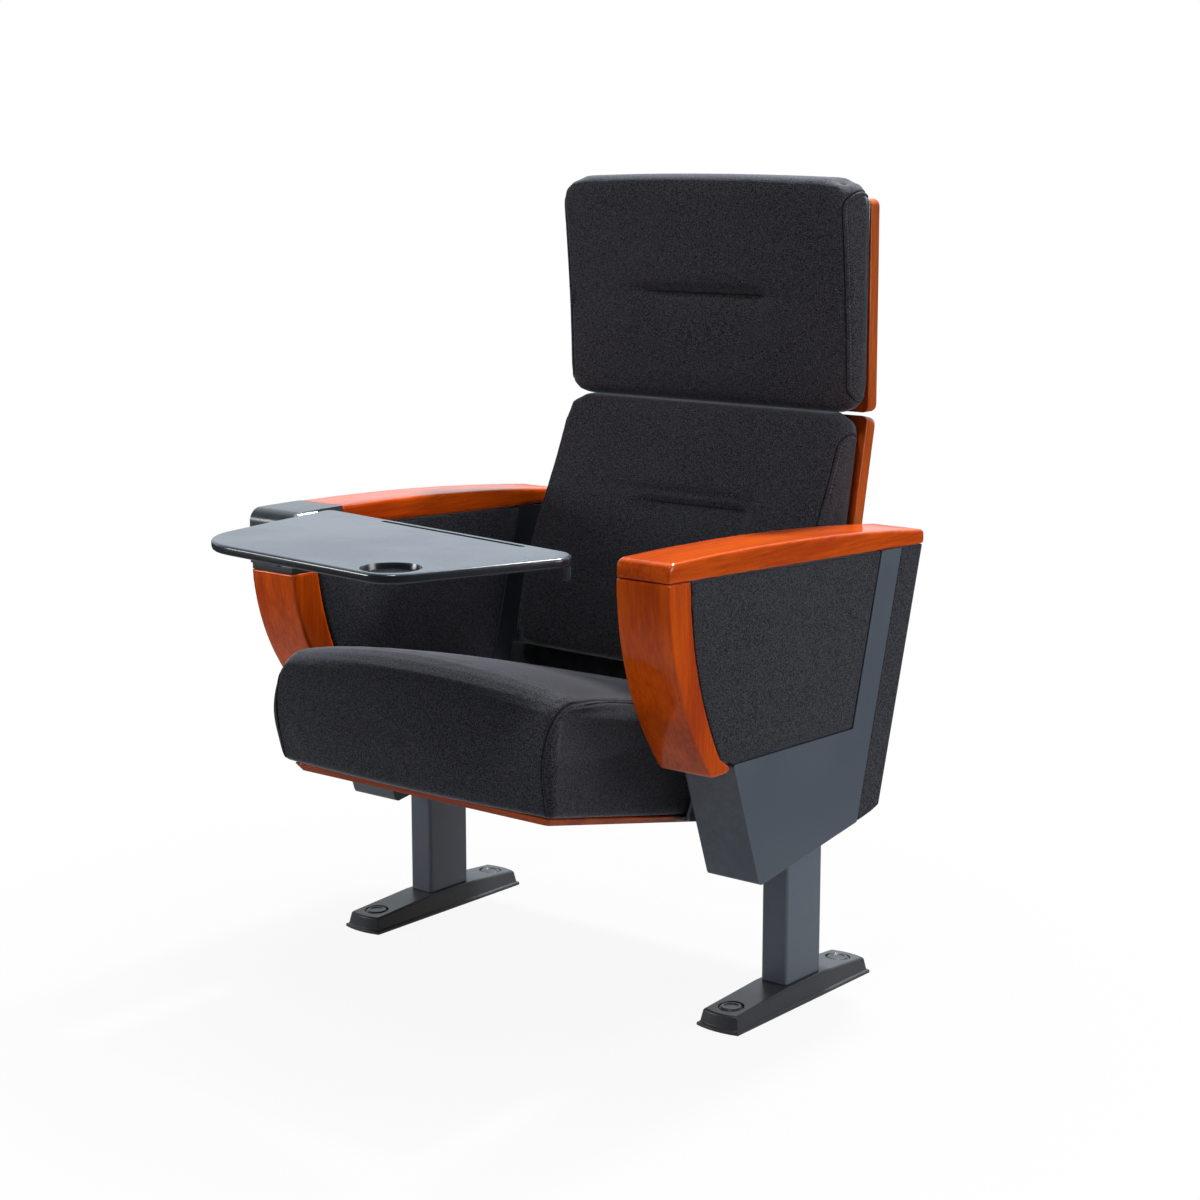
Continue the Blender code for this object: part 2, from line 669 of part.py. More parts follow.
def back_profile(low, high, rear_high, rear, thickness, crease_z, top_nose):
    """Side view of a back cushion: a flat rear up to rear_high, and a front that follows the thickness."""
    heights = spaced(low, high, 9)
    heights = [z for z in heights if abs(z - crease_z) > CREASE_SPREAD + 0.002]
    heights += [crease_z + step for step in spaced(-CREASE_SPREAD, CREASE_SPREAD, 5)]
    heights.sort(reverse=True)
    corners = [(rear, low, CUSHION_CORNER), (rear, rear_high, CUSHION_CORNER)]
    noses = [top_nose] + [0.0] * (len(heights) - 2) + [CUSHION_NOSE]
    corners += [(rear - thickness(z), z, nose) for z, nose in zip(heights, noses)]
    return rounded(corners)


def lower_thickness(z):
    """Grows downwards to the lumbar swell; z is measured from the bend line."""
    swell = fade(-z / LOWER_CUSHION_HEIGHT / 0.8)
    return LOWER_CUSHION_TOP + (LOWER_CUSHION_BASE - LOWER_CUSHION_TOP) * swell


def upper_thickness(z):
    share = z / UPPER_CUSHION_HEIGHT
    return UPPER_CUSHION_BASE + (UPPER_CUSHION_TOP - UPPER_CUSHION_BASE) * share * share


def back_board(name, low, high, finish, parent):
    """Wooden outer panel with eased edges, in front of which the stiles run."""
    corners = [(-PANEL_HALF, low, PANEL_CORNER), (PANEL_HALF, low, PANEL_CORNER),
               (PANEL_HALF, high, PANEL_CORNER), (-PANEL_HALF, high, PANEL_CORNER)]
    bm = prism(rounded(corners), on_xz(0), on_xz(PANEL_BOARD))
    round_edges(bm, PANEL_EDGE, lambda e: abs(e.verts[0].co.y - e.verts[1].co.y) < 1e-6
                and e.verts[0].co.y > PANEL_BOARD / 2)
    return place(bm, name, finish, parent)


def back_point(z, depth):
    """A place in side view, z along the back from the bend line and depth behind the boards' front."""
    lower, upper = math.radians(-LOWER_RECLINE), math.radians(-UPPER_LEAN)
    if z == 0:
        turn = (lower + upper) / 2
        depth = depth / math.cos((lower - upper) / 2)
    else:
        turn = lower if z < 0 else upper
    return Vector((BEND_Y + depth * math.cos(turn) - z * math.sin(turn),
                   BEND_Z + depth * math.sin(turn) + z * math.cos(turn)))


def stile(name, x, finish, parent):
    """Bent steel bar that carries both cushions and both outer panels."""
    reach = max(LOWER_PANEL_HEIGHT - PANEL_EDGE, LOWER_CUSHION_HEIGHT + RAIL_DROP + RAIL_HEIGHT)
    low, high = -BACK_GAP / 2 - reach, UPPER_PANEL_HEIGHT * 0.8
    rear, front = -FIT, -FIT - STILE_THICKNESS
    outline = [back_point(z, rear) for z in (low, 0, high)] + [back_point(z, front) for z in (high, 0, low)]
    half = STILE_WIDTH / 2
    return place(prism(outline, on_yz(x - half), on_yz(x + half)), name, finish, parent)


def cross_rail(name, finish, parent):
    """Steel rail from arm to arm under the lower cushion, in front of the stiles."""
    high = -BACK_GAP / 2 - LOWER_CUSHION_HEIGHT - RAIL_DROP
    rear = -STILE_THICKNESS - 2 * FIT
    low, front = high - RAIL_HEIGHT, rear - RAIL_DEPTH
    corners = ((rear, high), (rear, low), (front, low), (front, high))
    outline = rounded([(*p, RAIL_CORNER) for p in corners], 3)
    reach = ARM_INNER - FIT
    return place(prism(outline, on_yz(-reach), on_yz(reach)), name, finish, parent)


def seat_pan(name, finish, parent):
    """Wooden seat bottom with a flared edge, slotted across for the steel strap."""
    low, high = -PAN_UNDER, PAN_THICKNESS - PAN_UNDER
    half = SEAT_HALF - PAN_SIDE_INSET
    rings = []
    for inset, z in ((PAN_FLARE, low), (0.0, high - 0.002), (0.001, high)):
        x, front, rear = half - inset, -PAN_FRONT - PAN_FLARE + inset, PAN_REAR - inset
        corners = [(*p, PAN_CORNER) for p in ((-x, front), (x, front), (x, rear), (-x, rear))]
        rings.append([Vector((*p, z)) for p in rounded(corners)])
    made = place(loft(rings), name, finish, parent)
    room = STRAP_WIDTH / 2 + FIT
    slot_floor = high - STRAP_THICKNESS - 2 * FIT
    carve(made, block((-EAR_OUTER, -room, slot_floor), (EAR_OUTER, room, high + PAN_THICKNESS)))
    return made


def seat_strap(name, finish, parent):
    top = PAN_THICKNESS - PAN_UNDER - FIT
    reach = EAR_INNER - FIT
    bm = block((-reach, -STRAP_WIDTH / 2, top - STRAP_THICKNESS), (reach, STRAP_WIDTH / 2, top))
    return place(bm, name, finish, parent)


def ear_foot():
    return PAN_THICKNESS - PAN_UNDER - FIT - STRAP_THICKNESS


def seat_ear(name, side, finish, parent):
    """Steel pivot plate on the end of the strap, with the hole for the pivot pin."""
    half = STRAP_WIDTH / 2
    low = ear_foot()
    outline = rounded([(-half, low, 0.006), (half, low, 0.006), (EAR_RADIUS, EAR_RADIUS, EAR_RADIUS * 0.96),
                       (-EAR_RADIUS, EAR_RADIUS, EAR_RADIUS * 0.96)], 8)
    made = place(prism(outline, on_yz(side * EAR_INNER), on_yz(side * EAR_OUTER)), name, finish, parent)
    bore = SEAT_PIN_RADIUS + TURNING
    hole = lathe([(0, ARM_WIDTH), (bore, ARM_WIDTH), (bore, -ARM_WIDTH), (0, -ARM_WIDTH)], (1, 0, 0))
    bmesh.ops.translate(hole, vec=(side * EAR_INNER, 0, 0), verts=hole.verts)
    carve(made, hole)
    return made


def pivot_pin(name, side, finish, parent):
    """Steel pin through the ear and the hub, to the side shell."""
    start, end = SEAT_HALF + EAR_GAP / 2, ARM_INNER - FIT
    chamfer = SEAT_PIN_RADIUS - 0.001
    bm = lathe([(0, end), (SEAT_PIN_RADIUS, end), (SEAT_PIN_RADIUS, start + 0.001), (chamfer, start),
                (0, start)], (side, 0, 0))
    bmesh.ops.translate(bm, vec=(0, PIVOT_Y, PIVOT_Z), verts=bm.verts)
    return place(bm, name, finish, parent)


def pivot_hub(name, side, finish, parent):
    """Moulded boss on the side shell that the pivot pin passes through."""
    start, end = EAR_OUTER + TURNING, ARM_INNER - FIT
    bore = SEAT_PIN_RADIUS + FIT
    shoulder = start + (end - start) * 0.45
    ring = [(bore, end), (HUB_RADIUS, end), (HUB_RADIUS, end - (end - start) * 0.2), (HUB_NECK, shoulder),
            (HUB_NECK, start + 0.001), (HUB_NECK - 0.001, start), (bore, start), (bore, end)]
    bm = lathe(ring, (side, 0, 0))
    bmesh.ops.translate(bm, vec=(0, PIVOT_Y, PIVOT_Z), verts=bm.verts)
    return place(bm, name, finish, parent)


def seat_stop(name, side, finish, parent):
    """Rubber-covered peg on the side shell, behind the ear's rear flank when the seat is down."""
    low, high = Vector((STRAP_WIDTH / 2, ear_foot())), Vector((EAR_RADIUS, EAR_RADIUS))
    flank = (high - low).normalized()
    spot = (low + high) / 2 + Vector((flank.y, -flank.x)) * (STOP_RADIUS + FIT)
    spot = Matrix.Rotation(math.radians(-SEAT_TILT), 2) @ spot
    start, end = EAR_INNER, ARM_INNER - FIT
    chamfer = 0.0015
    bm = lathe([(0, end), (STOP_RADIUS, end), (STOP_RADIUS, start + chamfer), (STOP_RADIUS - chamfer, start),
                (0, start)], (side, 0, 0), 24)
    bmesh.ops.translate(bm, vec=(0, PIVOT_Y + spot.x, PIVOT_Z + spot.y), verts=bm.verts)
    return place(bm, name, finish, parent)


def base_top():
    return JOINT_FRONT_Z - BASE_DROP + BASE_THICKNESS


def tablet_base(name, x, finish, parent):
    """Dark plate on the shortened wooden front, under the tablet's mechanism."""
    low, high = JOINT_FRONT_Z - BASE_DROP + FIT, base_top()
    rear = front_back_y(high) - FIT
    front = front_face_y(high, JOINT_FRONT_Z - SHORT_FRONT_BOW) + 0.001
    bm = block((x - ARM_HALF + 0.001, front, low), (x + ARM_HALF - 0.001, rear, high))
    round_edges(bm, 0.002, lambda e: abs(e.verts[0].co.z - e.verts[1].co.z) > 1e-4, 2)
    return place(bm, name, finish, parent)


def nose_rear():
    return ARM_FRONT_Y + NOSE_LENGTH


def tablet_cover(name, x, finish, parent):
    """Rounded nose that ends the arm in front of its wooden cap, open at the inner side for the bracket."""
    low = base_top() + FIT
    top = cap_top(ARM_FRONT_Y, nose_rear() - FIT, 6)
    rear = front_back_y(JOINT_FRONT_Z) - FIT
    corners = [(ARM_FRONT_Y, low, 0.0), (*top[0][:2], 0.020)] + top[2:]
    corners += [(nose_rear() - FIT, joint_z(nose_rear()), 0.0), (rear, joint_z(rear), 0.0), (rear, low, 0.0)]
    bm = prism(rounded(corners, 6), on_yz(x - ARM_HALF), on_yz(x + ARM_HALF))
    round_edges(bm, ARM_EDGE, on_top)
    made = place(bm, name, finish, parent)
    carve(made, block((-ARM_INNER - BRACKET_DEPTH, ARM_FRONT_Y - 0.05, low - 0.05),
                      (-ARM_INNER + 0.05, rear - NOSE_WALL, base_top() + BRACKET_HEIGHT + 2 * FIT)))
    return made


def hinge_axis():
    """X and Z of the tablet's hinge, beside the board's inner edge at half its thickness."""
    x = -ARM_INNER + TABLET_SIDE_GAP - KNUCKLE_RADIUS - TURNING - 0.0006
    return x, TABLET_TOP_Z - TABLET_THICKNESS / 2


def leaf_top():
    return TABLET_TOP_Z - TABLET_THICKNESS - FIT


def hinge_span():
    front = ARM_FRONT_Y + HINGE_FRONT_INSET
    return front, front + HINGE_LENGTH


def leaf_share():
    """The stretch of the hinge that the moving leaf's knuckle takes."""
    front, rear = hinge_span()
    return front + KNUCKLE_SHARE, rear - KNUCKLE_SHARE


def knuckle_arc():
    """The upper half of a hinge knuckle's outline, seen along the axis."""
    axis_x, axis_z = hinge_axis()
    r = KNUCKLE_RADIUS
    angles = [math.radians(a) for a in range(0, 181, 20)]
    return [(axis_x + r * math.cos(a), axis_z + r * math.sin(a), 0.0) for a in angles]


def hinge_bore(radius):
    """Cutter for the pin's hole, longer than the hinge."""
    return lathe([(0, HINGE_LENGTH), (radius, HINGE_LENGTH), (radius, -HINGE_LENGTH), (0, -HINGE_LENGTH)],
                 (0, 1, 0), 20)


def tablet_bracket(name, finish, parent):
    """Steel bracket in the nose: a block on the base, an arm, a ledge under the leaf and two knuckles."""
    axis_x, axis_z = hinge_axis()
    front, rear = hinge_span()
    outer, inner = -ARM_INNER - BRACKET_DEPTH + FIT, -ARM_INNER
    low, high = base_top() + FIT, base_top() + BRACKET_HEIGHT
    ledge = leaf_top() - LEAF_THICKNESS - FIT
    reach = axis_x + LEDGE_REACH
    corners = [(outer, low, 0.0), (inner - FIT, low, 0.0), (inner - FIT, high - 0.026, 0.0),
               (reach, ledge - 0.007, 0.002), (reach, ledge, 0.0), (axis_x + KNUCKLE_RADIUS, ledge, 0.0)]
    corners += knuckle_arc()
    corners += [(axis_x - KNUCKLE_RADIUS, high, 0.0), (outer, high, 0.0)]
    made = place(prism(rounded(corners), on_xz(front), on_xz(rear)), name, finish, parent)
    start, end = leaf_share()
    carve(made, block((axis_x - 2 * KNUCKLE_RADIUS, start - TURNING, ledge),
                      (axis_x + 2 * KNUCKLE_RADIUS, end + TURNING, axis_z + 2 * KNUCKLE_RADIUS)))
    hole = hinge_bore(PIN_RADIUS + FIT)
    bmesh.ops.translate(hole, vec=(axis_x, (front + rear) / 2, axis_z), verts=hole.verts)
    carve(made, hole)
    return made


def hinge_pin(name, finish, parent):
    axis_x, axis_z = hinge_axis()
    front, rear = hinge_span()
    bm = lathe([(0, rear), (PIN_RADIUS, rear), (PIN_RADIUS, front), (0, front)], (0, 1, 0), 20)
    bmesh.ops.translate(bm, vec=(axis_x, 0, axis_z), verts=bm.verts)
    return place(bm, name, finish, parent)


def tablet_corners():
    """Plan positions of the board's corners before rounding: inner rear, tip, free front, inner front."""
    turn, slant, spread = (math.radians(a) for a in (TABLET_TURN, TABLET_SLANT, TABLET_SPREAD))
    rear = Vector((-ARM_INNER + TABLET_SIDE_GAP, TABLET_REAR_Y))
    tip = rear + Vector((math.cos(turn), -math.sin(turn))) * TABLET_LENGTH
    free = tip - Vector((math.sin(slant), math.cos(slant))) * TABLET_END
    inner = rear + Vector((math.sin(spread), -math.cos(spread))) * TABLET_INNER
    return rear, tip, free, inner


def inner_edge_x(y):
    """Where the board's inner edge is at a place along the arm."""
    rear = tablet_corners()[0]
    return rear.x + (rear.y - y) * math.tan(math.radians(TABLET_SPREAD))


def tablet_point(along, ahead):
    """Plan position from the inner rear corner: along the rear edge, and square to it towards the front."""
    turn = math.radians(TABLET_TURN)
    return tablet_corners()[0] + Vector((along * math.cos(turn) - ahead * math.sin(turn),
                                         -along * math.sin(turn) - ahead * math.cos(turn)))


def tablet_outline():
    return rounded([(*spot, radius) for spot, radius in zip(tablet_corners(), TABLET_CORNERS)], 8)


def tablet_leaf(name, finish, parent, origin):
    """Steel plate screwed under the board, with the middle knuckle of the hinge."""
    axis_x, axis_z = hinge_axis()
    start, end = leaf_share()
    high = leaf_top()
    low = high - LEAF_THICKNESS
    front = end - LEAF_DEPTH
    edge = inner_edge_x(start) + LEAF_INSET
    plate = rounded([(inner_edge_x(front) + LEAF_INSET, front, 0.012), (edge + LEAF_LENGTH, front, 0.012),
                     (edge + LEAF_LENGTH, end - 0.022, 0.012), (inner_edge_x(end) + LEAF_INSET, end, 0.004)])
    bm = prism(plate, on_xy(low), on_xy(high))
    bmesh.ops.translate(bm, vec=-origin, verts=bm.verts)
    made = place(bm, name, finish, parent)
    neck = rounded([(axis_x - KNUCKLE_RADIUS * 0.2, low, 0.0), (edge + 0.006, low, 0.0),
                    (edge + 0.006, high, 0.0), (axis_x + KNUCKLE_RADIUS, high, 0.0)] + knuckle_arc())
    knuckle = prism(neck, on_xz(start), on_xz(end))
    bmesh.ops.translate(knuckle, vec=-origin, verts=knuckle.verts)
    carve(made, knuckle, "UNION")
    hole = hinge_bore(PIN_RADIUS + TURNING)
    bmesh.ops.translate(hole, vec=Vector((axis_x, (start + end) / 2, axis_z)) - origin, verts=hole.verts)
    carve(made, hole)
    return made


def tablet_board(name, finish, parent, origin):
    """Moulded writing board: slanted free end, large inner corner, cup recess, pen groove, finger hook."""
    low = TABLET_TOP_Z - TABLET_THICKNESS
    bm = prism(tablet_outline(), on_xy(low), on_xy(TABLET_TOP_Z))
    round_edges(bm, TABLET_EDGE, lambda e: abs(e.verts[0].co.z - e.verts[1].co.z) < 1e-6)
    bmesh.ops.translate(bm, vec=-origin, verts=bm.verts)
    made = place(bm, name, finish, parent)

    _, tip, free, inner = tablet_corners()
    rear_way, end_way = (tablet_corners()[0] - tip).normalized(), (free - tip).normalized()
    corner = rear_way.angle(end_way) / 2
    centre = tip + (rear_way + end_way).normalized() * (TABLET_CORNERS[1] / math.sin(corner))
    outward = -(rear_way + end_way).normalized()
    middle = centre + outward * (TABLET_CORNERS[1] - HOOK_INSET - HOOK_THICKNESS / 2)
    heading = Matrix.Rotation(math.atan2(outward.y, outward.x), 2)
    a, b = HOOK_THICKNESS / 2, HOOK_WIDTH / 2
    hook_plan = rounded([(-a, -b, a), (a, -b, a), (a, b, a), (-a, b, a)])
    hook_plan = [middle + heading @ p for p in hook_plan]
    hook = prism(hook_plan, on_xy(low - HOOK_DROP), on_xy(low + TABLET_THICKNESS / 2))
    round_edges(hook, 0.002, lambda e: max(v.co.z for v in e.verts) < low - HOOK_DROP + 1e-5, 2)
    bmesh.ops.translate(hook, vec=-origin, verts=hook.verts)
    carve(made, hook, "UNION")

    front_way, end_way = (inner - free).normalized(), (tip - free).normalized()
    between = math.sin(front_way.angle(end_way))
    spot = free + front_way * (CUP_SIDE_INSET / between) + end_way * (CUP_FRONT_INSET / between)
    over, under = TABLET_TOP_Z + CUP_DEPTH, TABLET_TOP_Z - CUP_DEPTH
    cup = lathe([(0, over), (CUP_RADIUS, over), (CUP_RADIUS, TABLET_TOP_Z), (CUP_RADIUS - 0.0015, under),
                 (0, under)], (0, 0, 1), 40)
    bmesh.ops.translate(cup, vec=Vector((*spot, 0)) - origin, verts=cup.verts)
    carve(made, cup)

    half = GROOVE_WIDTH / 2
    start, end = GROOVE_START, GROOVE_START + GROOVE_LENGTH
    near, far = GROOVE_INSET - half, GROOVE_INSET + half
    groove_plan = rounded([(*p, half) for p in ((start, near), (end, near), (end, far), (start, far))])
    groove = prism([tablet_point(*p) for p in groove_plan], on_xy(TABLET_TOP_Z - GROOVE_DEPTH),
                   on_xy(TABLET_TOP_Z + GROOVE_DEPTH))
    bmesh.ops.translate(groove, vec=-origin, verts=groove.verts)
    carve(made, groove)
    return made


def build():
    for old in list(bpy.data.objects):
        bpy.data.objects.remove(old, do_unlink=True)

    black = finish_material("black_coated_steel", (0.012, 0.013, 0.015), 0.38, 0.0)
    charcoal = finish_material("charcoal_coated_steel", (0.045, 0.055, 0.068), 0.42, 0.0)
    steel = finish_material("bare_steel", (0.45, 0.46, 0.48), 0.35, 1.0)
    rubber = finish_material("rubber", (0.02, 0.02, 0.02), 0.8)
    wood = finish_material("lacquered_wood", (0.46, 0.11, 0.015), 0.22)
    board = finish_material("core_board", (0.35, 0.26, 0.17), 0.8)
    fabric = finish_material("charcoal_fabric", (0.022, 0.024, 0.029), 0.95)
    plastic = finish_material("grey_plastic", (0.05, 0.058, 0.068), 0.35)

    front_edge = min(p.y for p in tablet_outline())
    rear_edge = max(back_point(z, PANEL_BOARD).x for z in (-BACK_GAP / 2, BACK_GAP / 2, UPPER_PANEL_HEIGHT))
    chair = empty("chair", None)

    for side_name, side in SIDES:
        x = side * SIDE_CENTRE
        foot("foot_" + side_name, x, black, chair)
        for end, y in cap_places():
            foot_cap("foot_cap_%s_%s" % (side_name, end), x, y, black, chair)
        post("post_" + side_name, x, charcoal, chair)
        side_shell("side_shell_" + side_name, x, charcoal, chair)
        arm_core("arm_core_" + side_name, x, board, chair)
        arm_panel("outer_panel_" + side_name, x, side, fabric, chair)
        arm_panel("inner_panel_" + side_name, x, -side, fabric, chair)
        rear_strip("rear_strip_" + side_name, x, fabric, chair)
        pivot_pin("seat_pin_" + side_name, side, steel, chair)
        pivot_hub("seat_hub_" + side_name, side, charcoal, chair)
        seat_stop("seat_stop_" + side_name, side, rubber, chair)
        stile("back_stile_" + side_name, side * STILE_SPREAD, steel, chair)

    arm_cap("arm_cap_left", SIDE_CENTRE, ARM_FRONT_Y, wood, chair)
    arm_cap("arm_cap_right", -SIDE_CENTRE, nose_rear(), wood, chair)
    arm_front("arm_front_left", SIDE_CENTRE, JOINT_FRONT_Z - FIT, JOINT_FRONT_Z, wood, chair)
    arm_front("arm_front_right", -SIDE_CENTRE, JOINT_FRONT_Z - BASE_DROP, JOINT_FRONT_Z - SHORT_FRONT_BOW,
              wood, chair)
    tablet_base("tablet_base", -SIDE_CENTRE, plastic, chair)
    tablet_cover("tablet_cover", -SIDE_CENTRE, plastic, chair)
    tablet_bracket("tablet_bracket", steel, chair)
    hinge_pin("tablet_hinge_pin", steel, chair)

    axis_x, axis_z = hinge_axis()
    hinge_place = Vector((axis_x, sum(hinge_span()) / 2, axis_z))
    tablet = empty("tablet", chair, hinge_place)
    tablet_leaf("tablet_leaf", steel, tablet, hinge_place)
    tablet_board("tablet_board", plastic, tablet, hinge_place)

    bend = (0, BEND_Y, BEND_Z)
    lower = empty("lower_back", chair, bend, -LOWER_RECLINE)
    upper = empty("upper_back", chair, bend, -UPPER_LEAN)
    half_gap = BACK_GAP / 2
    back_board("back_panel_lower", -half_gap - LOWER_PANEL_HEIGHT, -half_gap, wood, lower)
    back_board("back_panel_upper", half_gap, half_gap + UPPER_PANEL_HEIGHT, wood, upper)
    cross_rail("back_rail", steel, lower)
    rear = -STILE_THICKNESS - 2 * FIT
    fold = math.tan(math.radians(LOWER_RECLINE - UPPER_LEAN))
    lower_rear_high = half_gap + rear * fold - SOFT_GAP
    lower_low, lower_high = -half_gap - LOWER_CUSHION_HEIGHT, lower_rear_high - LOWER_CUSHION_TOP * fold
    upper_low, upper_high = half_gap, half_gap + UPPER_CUSHION_HEIGHT

    def lower_crown(here, normal):
        return BACK_CROWN * max(-normal.x, 0.0) * fade((lower_high - here.y) / CROWN_RUN)

    def upper_crown(here, normal):
        crown = BACK_CROWN * max(-normal.x, 0.0) * fade((here.y - upper_low) / CROWN_RUN)
        return crown + UPPER_DOME * max(normal.y, 0.0)

    def lower_sides(y, z):
        return -corner_cut(z - lower_high + BACK_CORNERS[0], BACK_CORNERS[0])

    def upper_sides(y, z):
        depth = 1 + (y - rear) / UPPER_CUSHION_TOP
        height = (z - upper_low) / UPPER_CUSHION_HEIGHT
        cut = corner_cut(upper_low + BACK_CORNERS[0] - z, BACK_CORNERS[0])
        cut += corner_cut(z - upper_high + BACK_CORNERS[1], BACK_CORNERS[1])
        return UPPER_WIDEN + UPPER_FLARE * (depth * height * height - (1 - depth) * height) - cut

    profile = back_profile(lower_low, lower_high, lower_rear_high, rear, lower_thickness, -LOWER_CREASE,
                           LOWER_NOSE)
    cushion("back_cushion_lower", profile, CUSHION_HALF, fabric, lower, lower_crown, lower_sides,
            (-LOWER_CREASE, CREASE_HALF, CREASE_DEPTH))
    profile = back_profile(upper_low, upper_high, upper_high, rear, upper_thickness, UPPER_CREASE,
                           CUSHION_NOSE)
    cushion("back_cushion_upper", profile, CUSHION_HALF, fabric, upper, upper_crown, upper_sides,
            (UPPER_CREASE, CREASE_HALF, CREASE_DEPTH))

    seat = empty("seat", chair, (0, PIVOT_Y, PIVOT_Z), -SEAT_TILT)
    seat_pan("seat_pan", wood, seat)
    seat_strap("seat_strap", steel, seat)
    floor = PAN_THICKNESS - PAN_UNDER

    def seat_sides(y, z):
        share = min(max((z - floor) / SEAT_CUSHION_HEIGHT, 0.0), 1.0)
        bulge = SEAT_CUSHION_BULGE * (math.sin(math.pi * min(share * 1.15, 1.0)) - 1)
        return bulge + SEAT_FLARE * fade((-y - STRAP_WIDTH) / (SEAT_CUSHION_FRONT - STRAP_WIDTH))

    def seat_crown(here, normal):
        ahead = fade(0.4 - 0.6 * here.x / (SEAT_CUSHION_FRONT - SEAT_NOSE_RADIUS))
        return max(SEAT_BOW * -normal.x, SEAT_CROWN * normal.y * ahead, 0.0)

    cushion("seat_cushion", seat_profile(), SEAT_HALF, fabric, seat, seat_crown, seat_sides)
    for side_name, side in SIDES:
        seat_ear("seat_ear_" + side_name, side, steel, seat)

    chair.location = (0, -(front_edge + rear_edge) / 2, 0)


build()
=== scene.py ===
import math

import bmesh
import bpy
from mathutils import Matrix, Vector
from mathutils.bvhtree import BVHTree
from mathutils.kdtree import KDTree


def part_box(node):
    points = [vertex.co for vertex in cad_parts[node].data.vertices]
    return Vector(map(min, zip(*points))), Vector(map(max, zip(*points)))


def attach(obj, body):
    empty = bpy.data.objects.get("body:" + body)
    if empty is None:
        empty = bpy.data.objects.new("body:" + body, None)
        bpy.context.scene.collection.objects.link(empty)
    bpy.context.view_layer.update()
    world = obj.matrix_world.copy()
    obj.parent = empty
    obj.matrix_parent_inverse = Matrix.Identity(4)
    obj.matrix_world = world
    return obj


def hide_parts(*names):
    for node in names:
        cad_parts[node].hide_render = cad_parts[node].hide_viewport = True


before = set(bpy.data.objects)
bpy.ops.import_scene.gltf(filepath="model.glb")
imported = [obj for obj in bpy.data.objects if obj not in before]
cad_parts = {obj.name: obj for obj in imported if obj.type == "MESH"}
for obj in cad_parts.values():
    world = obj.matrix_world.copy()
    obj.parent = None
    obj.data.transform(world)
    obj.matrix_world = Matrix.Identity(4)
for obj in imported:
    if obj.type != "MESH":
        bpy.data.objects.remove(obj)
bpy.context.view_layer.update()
SIDES = ("left", "right")


# Feet and bolt caps. Two arched base plates of pressed steel stand on the floor, coated satin black.
# A round cap snaps over the anchor bolt at each end.

def node_copy(node):
    """A CAD node's shape as one joined mesh with its flat faces whole."""
    bm = bmesh.new()
    bm.from_mesh(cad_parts[node].data)
    bmesh.ops.remove_doubles(bm, verts=bm.verts, dist=1e-5)
    bmesh.ops.dissolve_limit(bm, angle_limit=math.radians(0.5), verts=bm.verts, edges=bm.edges)
    return bm


def set_down(bm, name, body, slot, material, *nodes):
    """Puts a finished mesh in the scene, riding on its body, in place of its CAD nodes."""
    for face in bm.faces:
        face.smooth = True
    mesh = bpy.data.meshes.new(name)
    bm.to_mesh(mesh)
    bm.free()
    mesh.materials.append(material)
    piece = bpy.data.objects.new(name, mesh)
    bpy.context.scene.collection.objects.link(piece)
    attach(piece, body)
    if nodes:
        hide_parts(*nodes)
    return piece


def eased(node, body, slot, material, width, segments=2, bm=None):
    """The node's own form, or bm for it, with its hard edges eased by a small radius to catch the light."""
    piece = set_down(bm or node_copy(node), node + "_finished", body, slot, material, node)
    edge = piece.modifiers.new("eased_edges", "BEVEL")
    edge.width, edge.segments, edge.limit_method = width, segments, "ANGLE"
    edge.angle_limit = math.radians(32)
    edge.use_clamp_overlap = True
    piece.modifiers.new("even_shading", "WEIGHTED_NORMAL").keep_sharp = True


def new_group(name, inputs, outputs):
    """An empty shader group with named sockets: (name, kind, default) going in, (name, kind) coming out."""
    group = bpy.data.node_groups.new(name, "ShaderNodeTree")
    for label, kind, value in inputs:
        socket = group.interface.new_socket(label, in_out="INPUT", socket_type="NodeSocket" + kind)
        if value is not None:
            socket.default_value = value
    for label, kind in outputs:
        group.interface.new_socket(label, in_out="OUTPUT", socket_type="NodeSocket" + kind)
    return group, group.nodes.new("NodeGroupInput").outputs, group.nodes.new("NodeGroupOutput").inputs


def add(tree, kind, links=None, **values):
    """Adds a node, sets its properties, and fills its inputs with values or other nodes' outputs."""
    node = tree.nodes.new(kind)
    for key, value in values.items():
        setattr(node, key, value)
    for key, value in (links or {}).items():
        if isinstance(value, bpy.types.NodeSocket):
            tree.links.new(value, node.inputs[key])
        else:
            node.inputs[key].default_value = value
    return node


def maths(tree, operation, a, b=0.0):
    return add(tree, "ShaderNodeMath", {0: a, 1: b}, operation=operation).outputs[0]


def span(tree, value, low, high, start=0.0, end=1.0):
    """Fades a value from start to end as it goes from low to high."""
    ends = {"Value": value, "From Min": low, "From Max": high, "To Min": start, "To Max": end}
    return add(tree, "ShaderNodeMapRange", ends, interpolation_type="SMOOTHSTEP").outputs[0]


def blend(tree, amount, first, second):
    """Mixes two colours: the first at 0, the second at 1."""
    node = tree.nodes.new("ShaderNodeMix")
    node.data_type = "RGBA"
    for socket, value in ((node.inputs[0], amount), (node.inputs[6], first), (node.inputs[7], second)):
        if isinstance(value, bpy.types.NodeSocket):
            tree.links.new(value, socket)
        else:
            socket.default_value = value
    return node.outputs[2]


def noise(tree, where, scale, detail=3.0, rough=0.5):
    settings = {"Vector": where, "Scale": scale, "Detail": detail, "Roughness": rough}
    return add(tree, "ShaderNodeTexNoise", settings).outputs["Fac"]


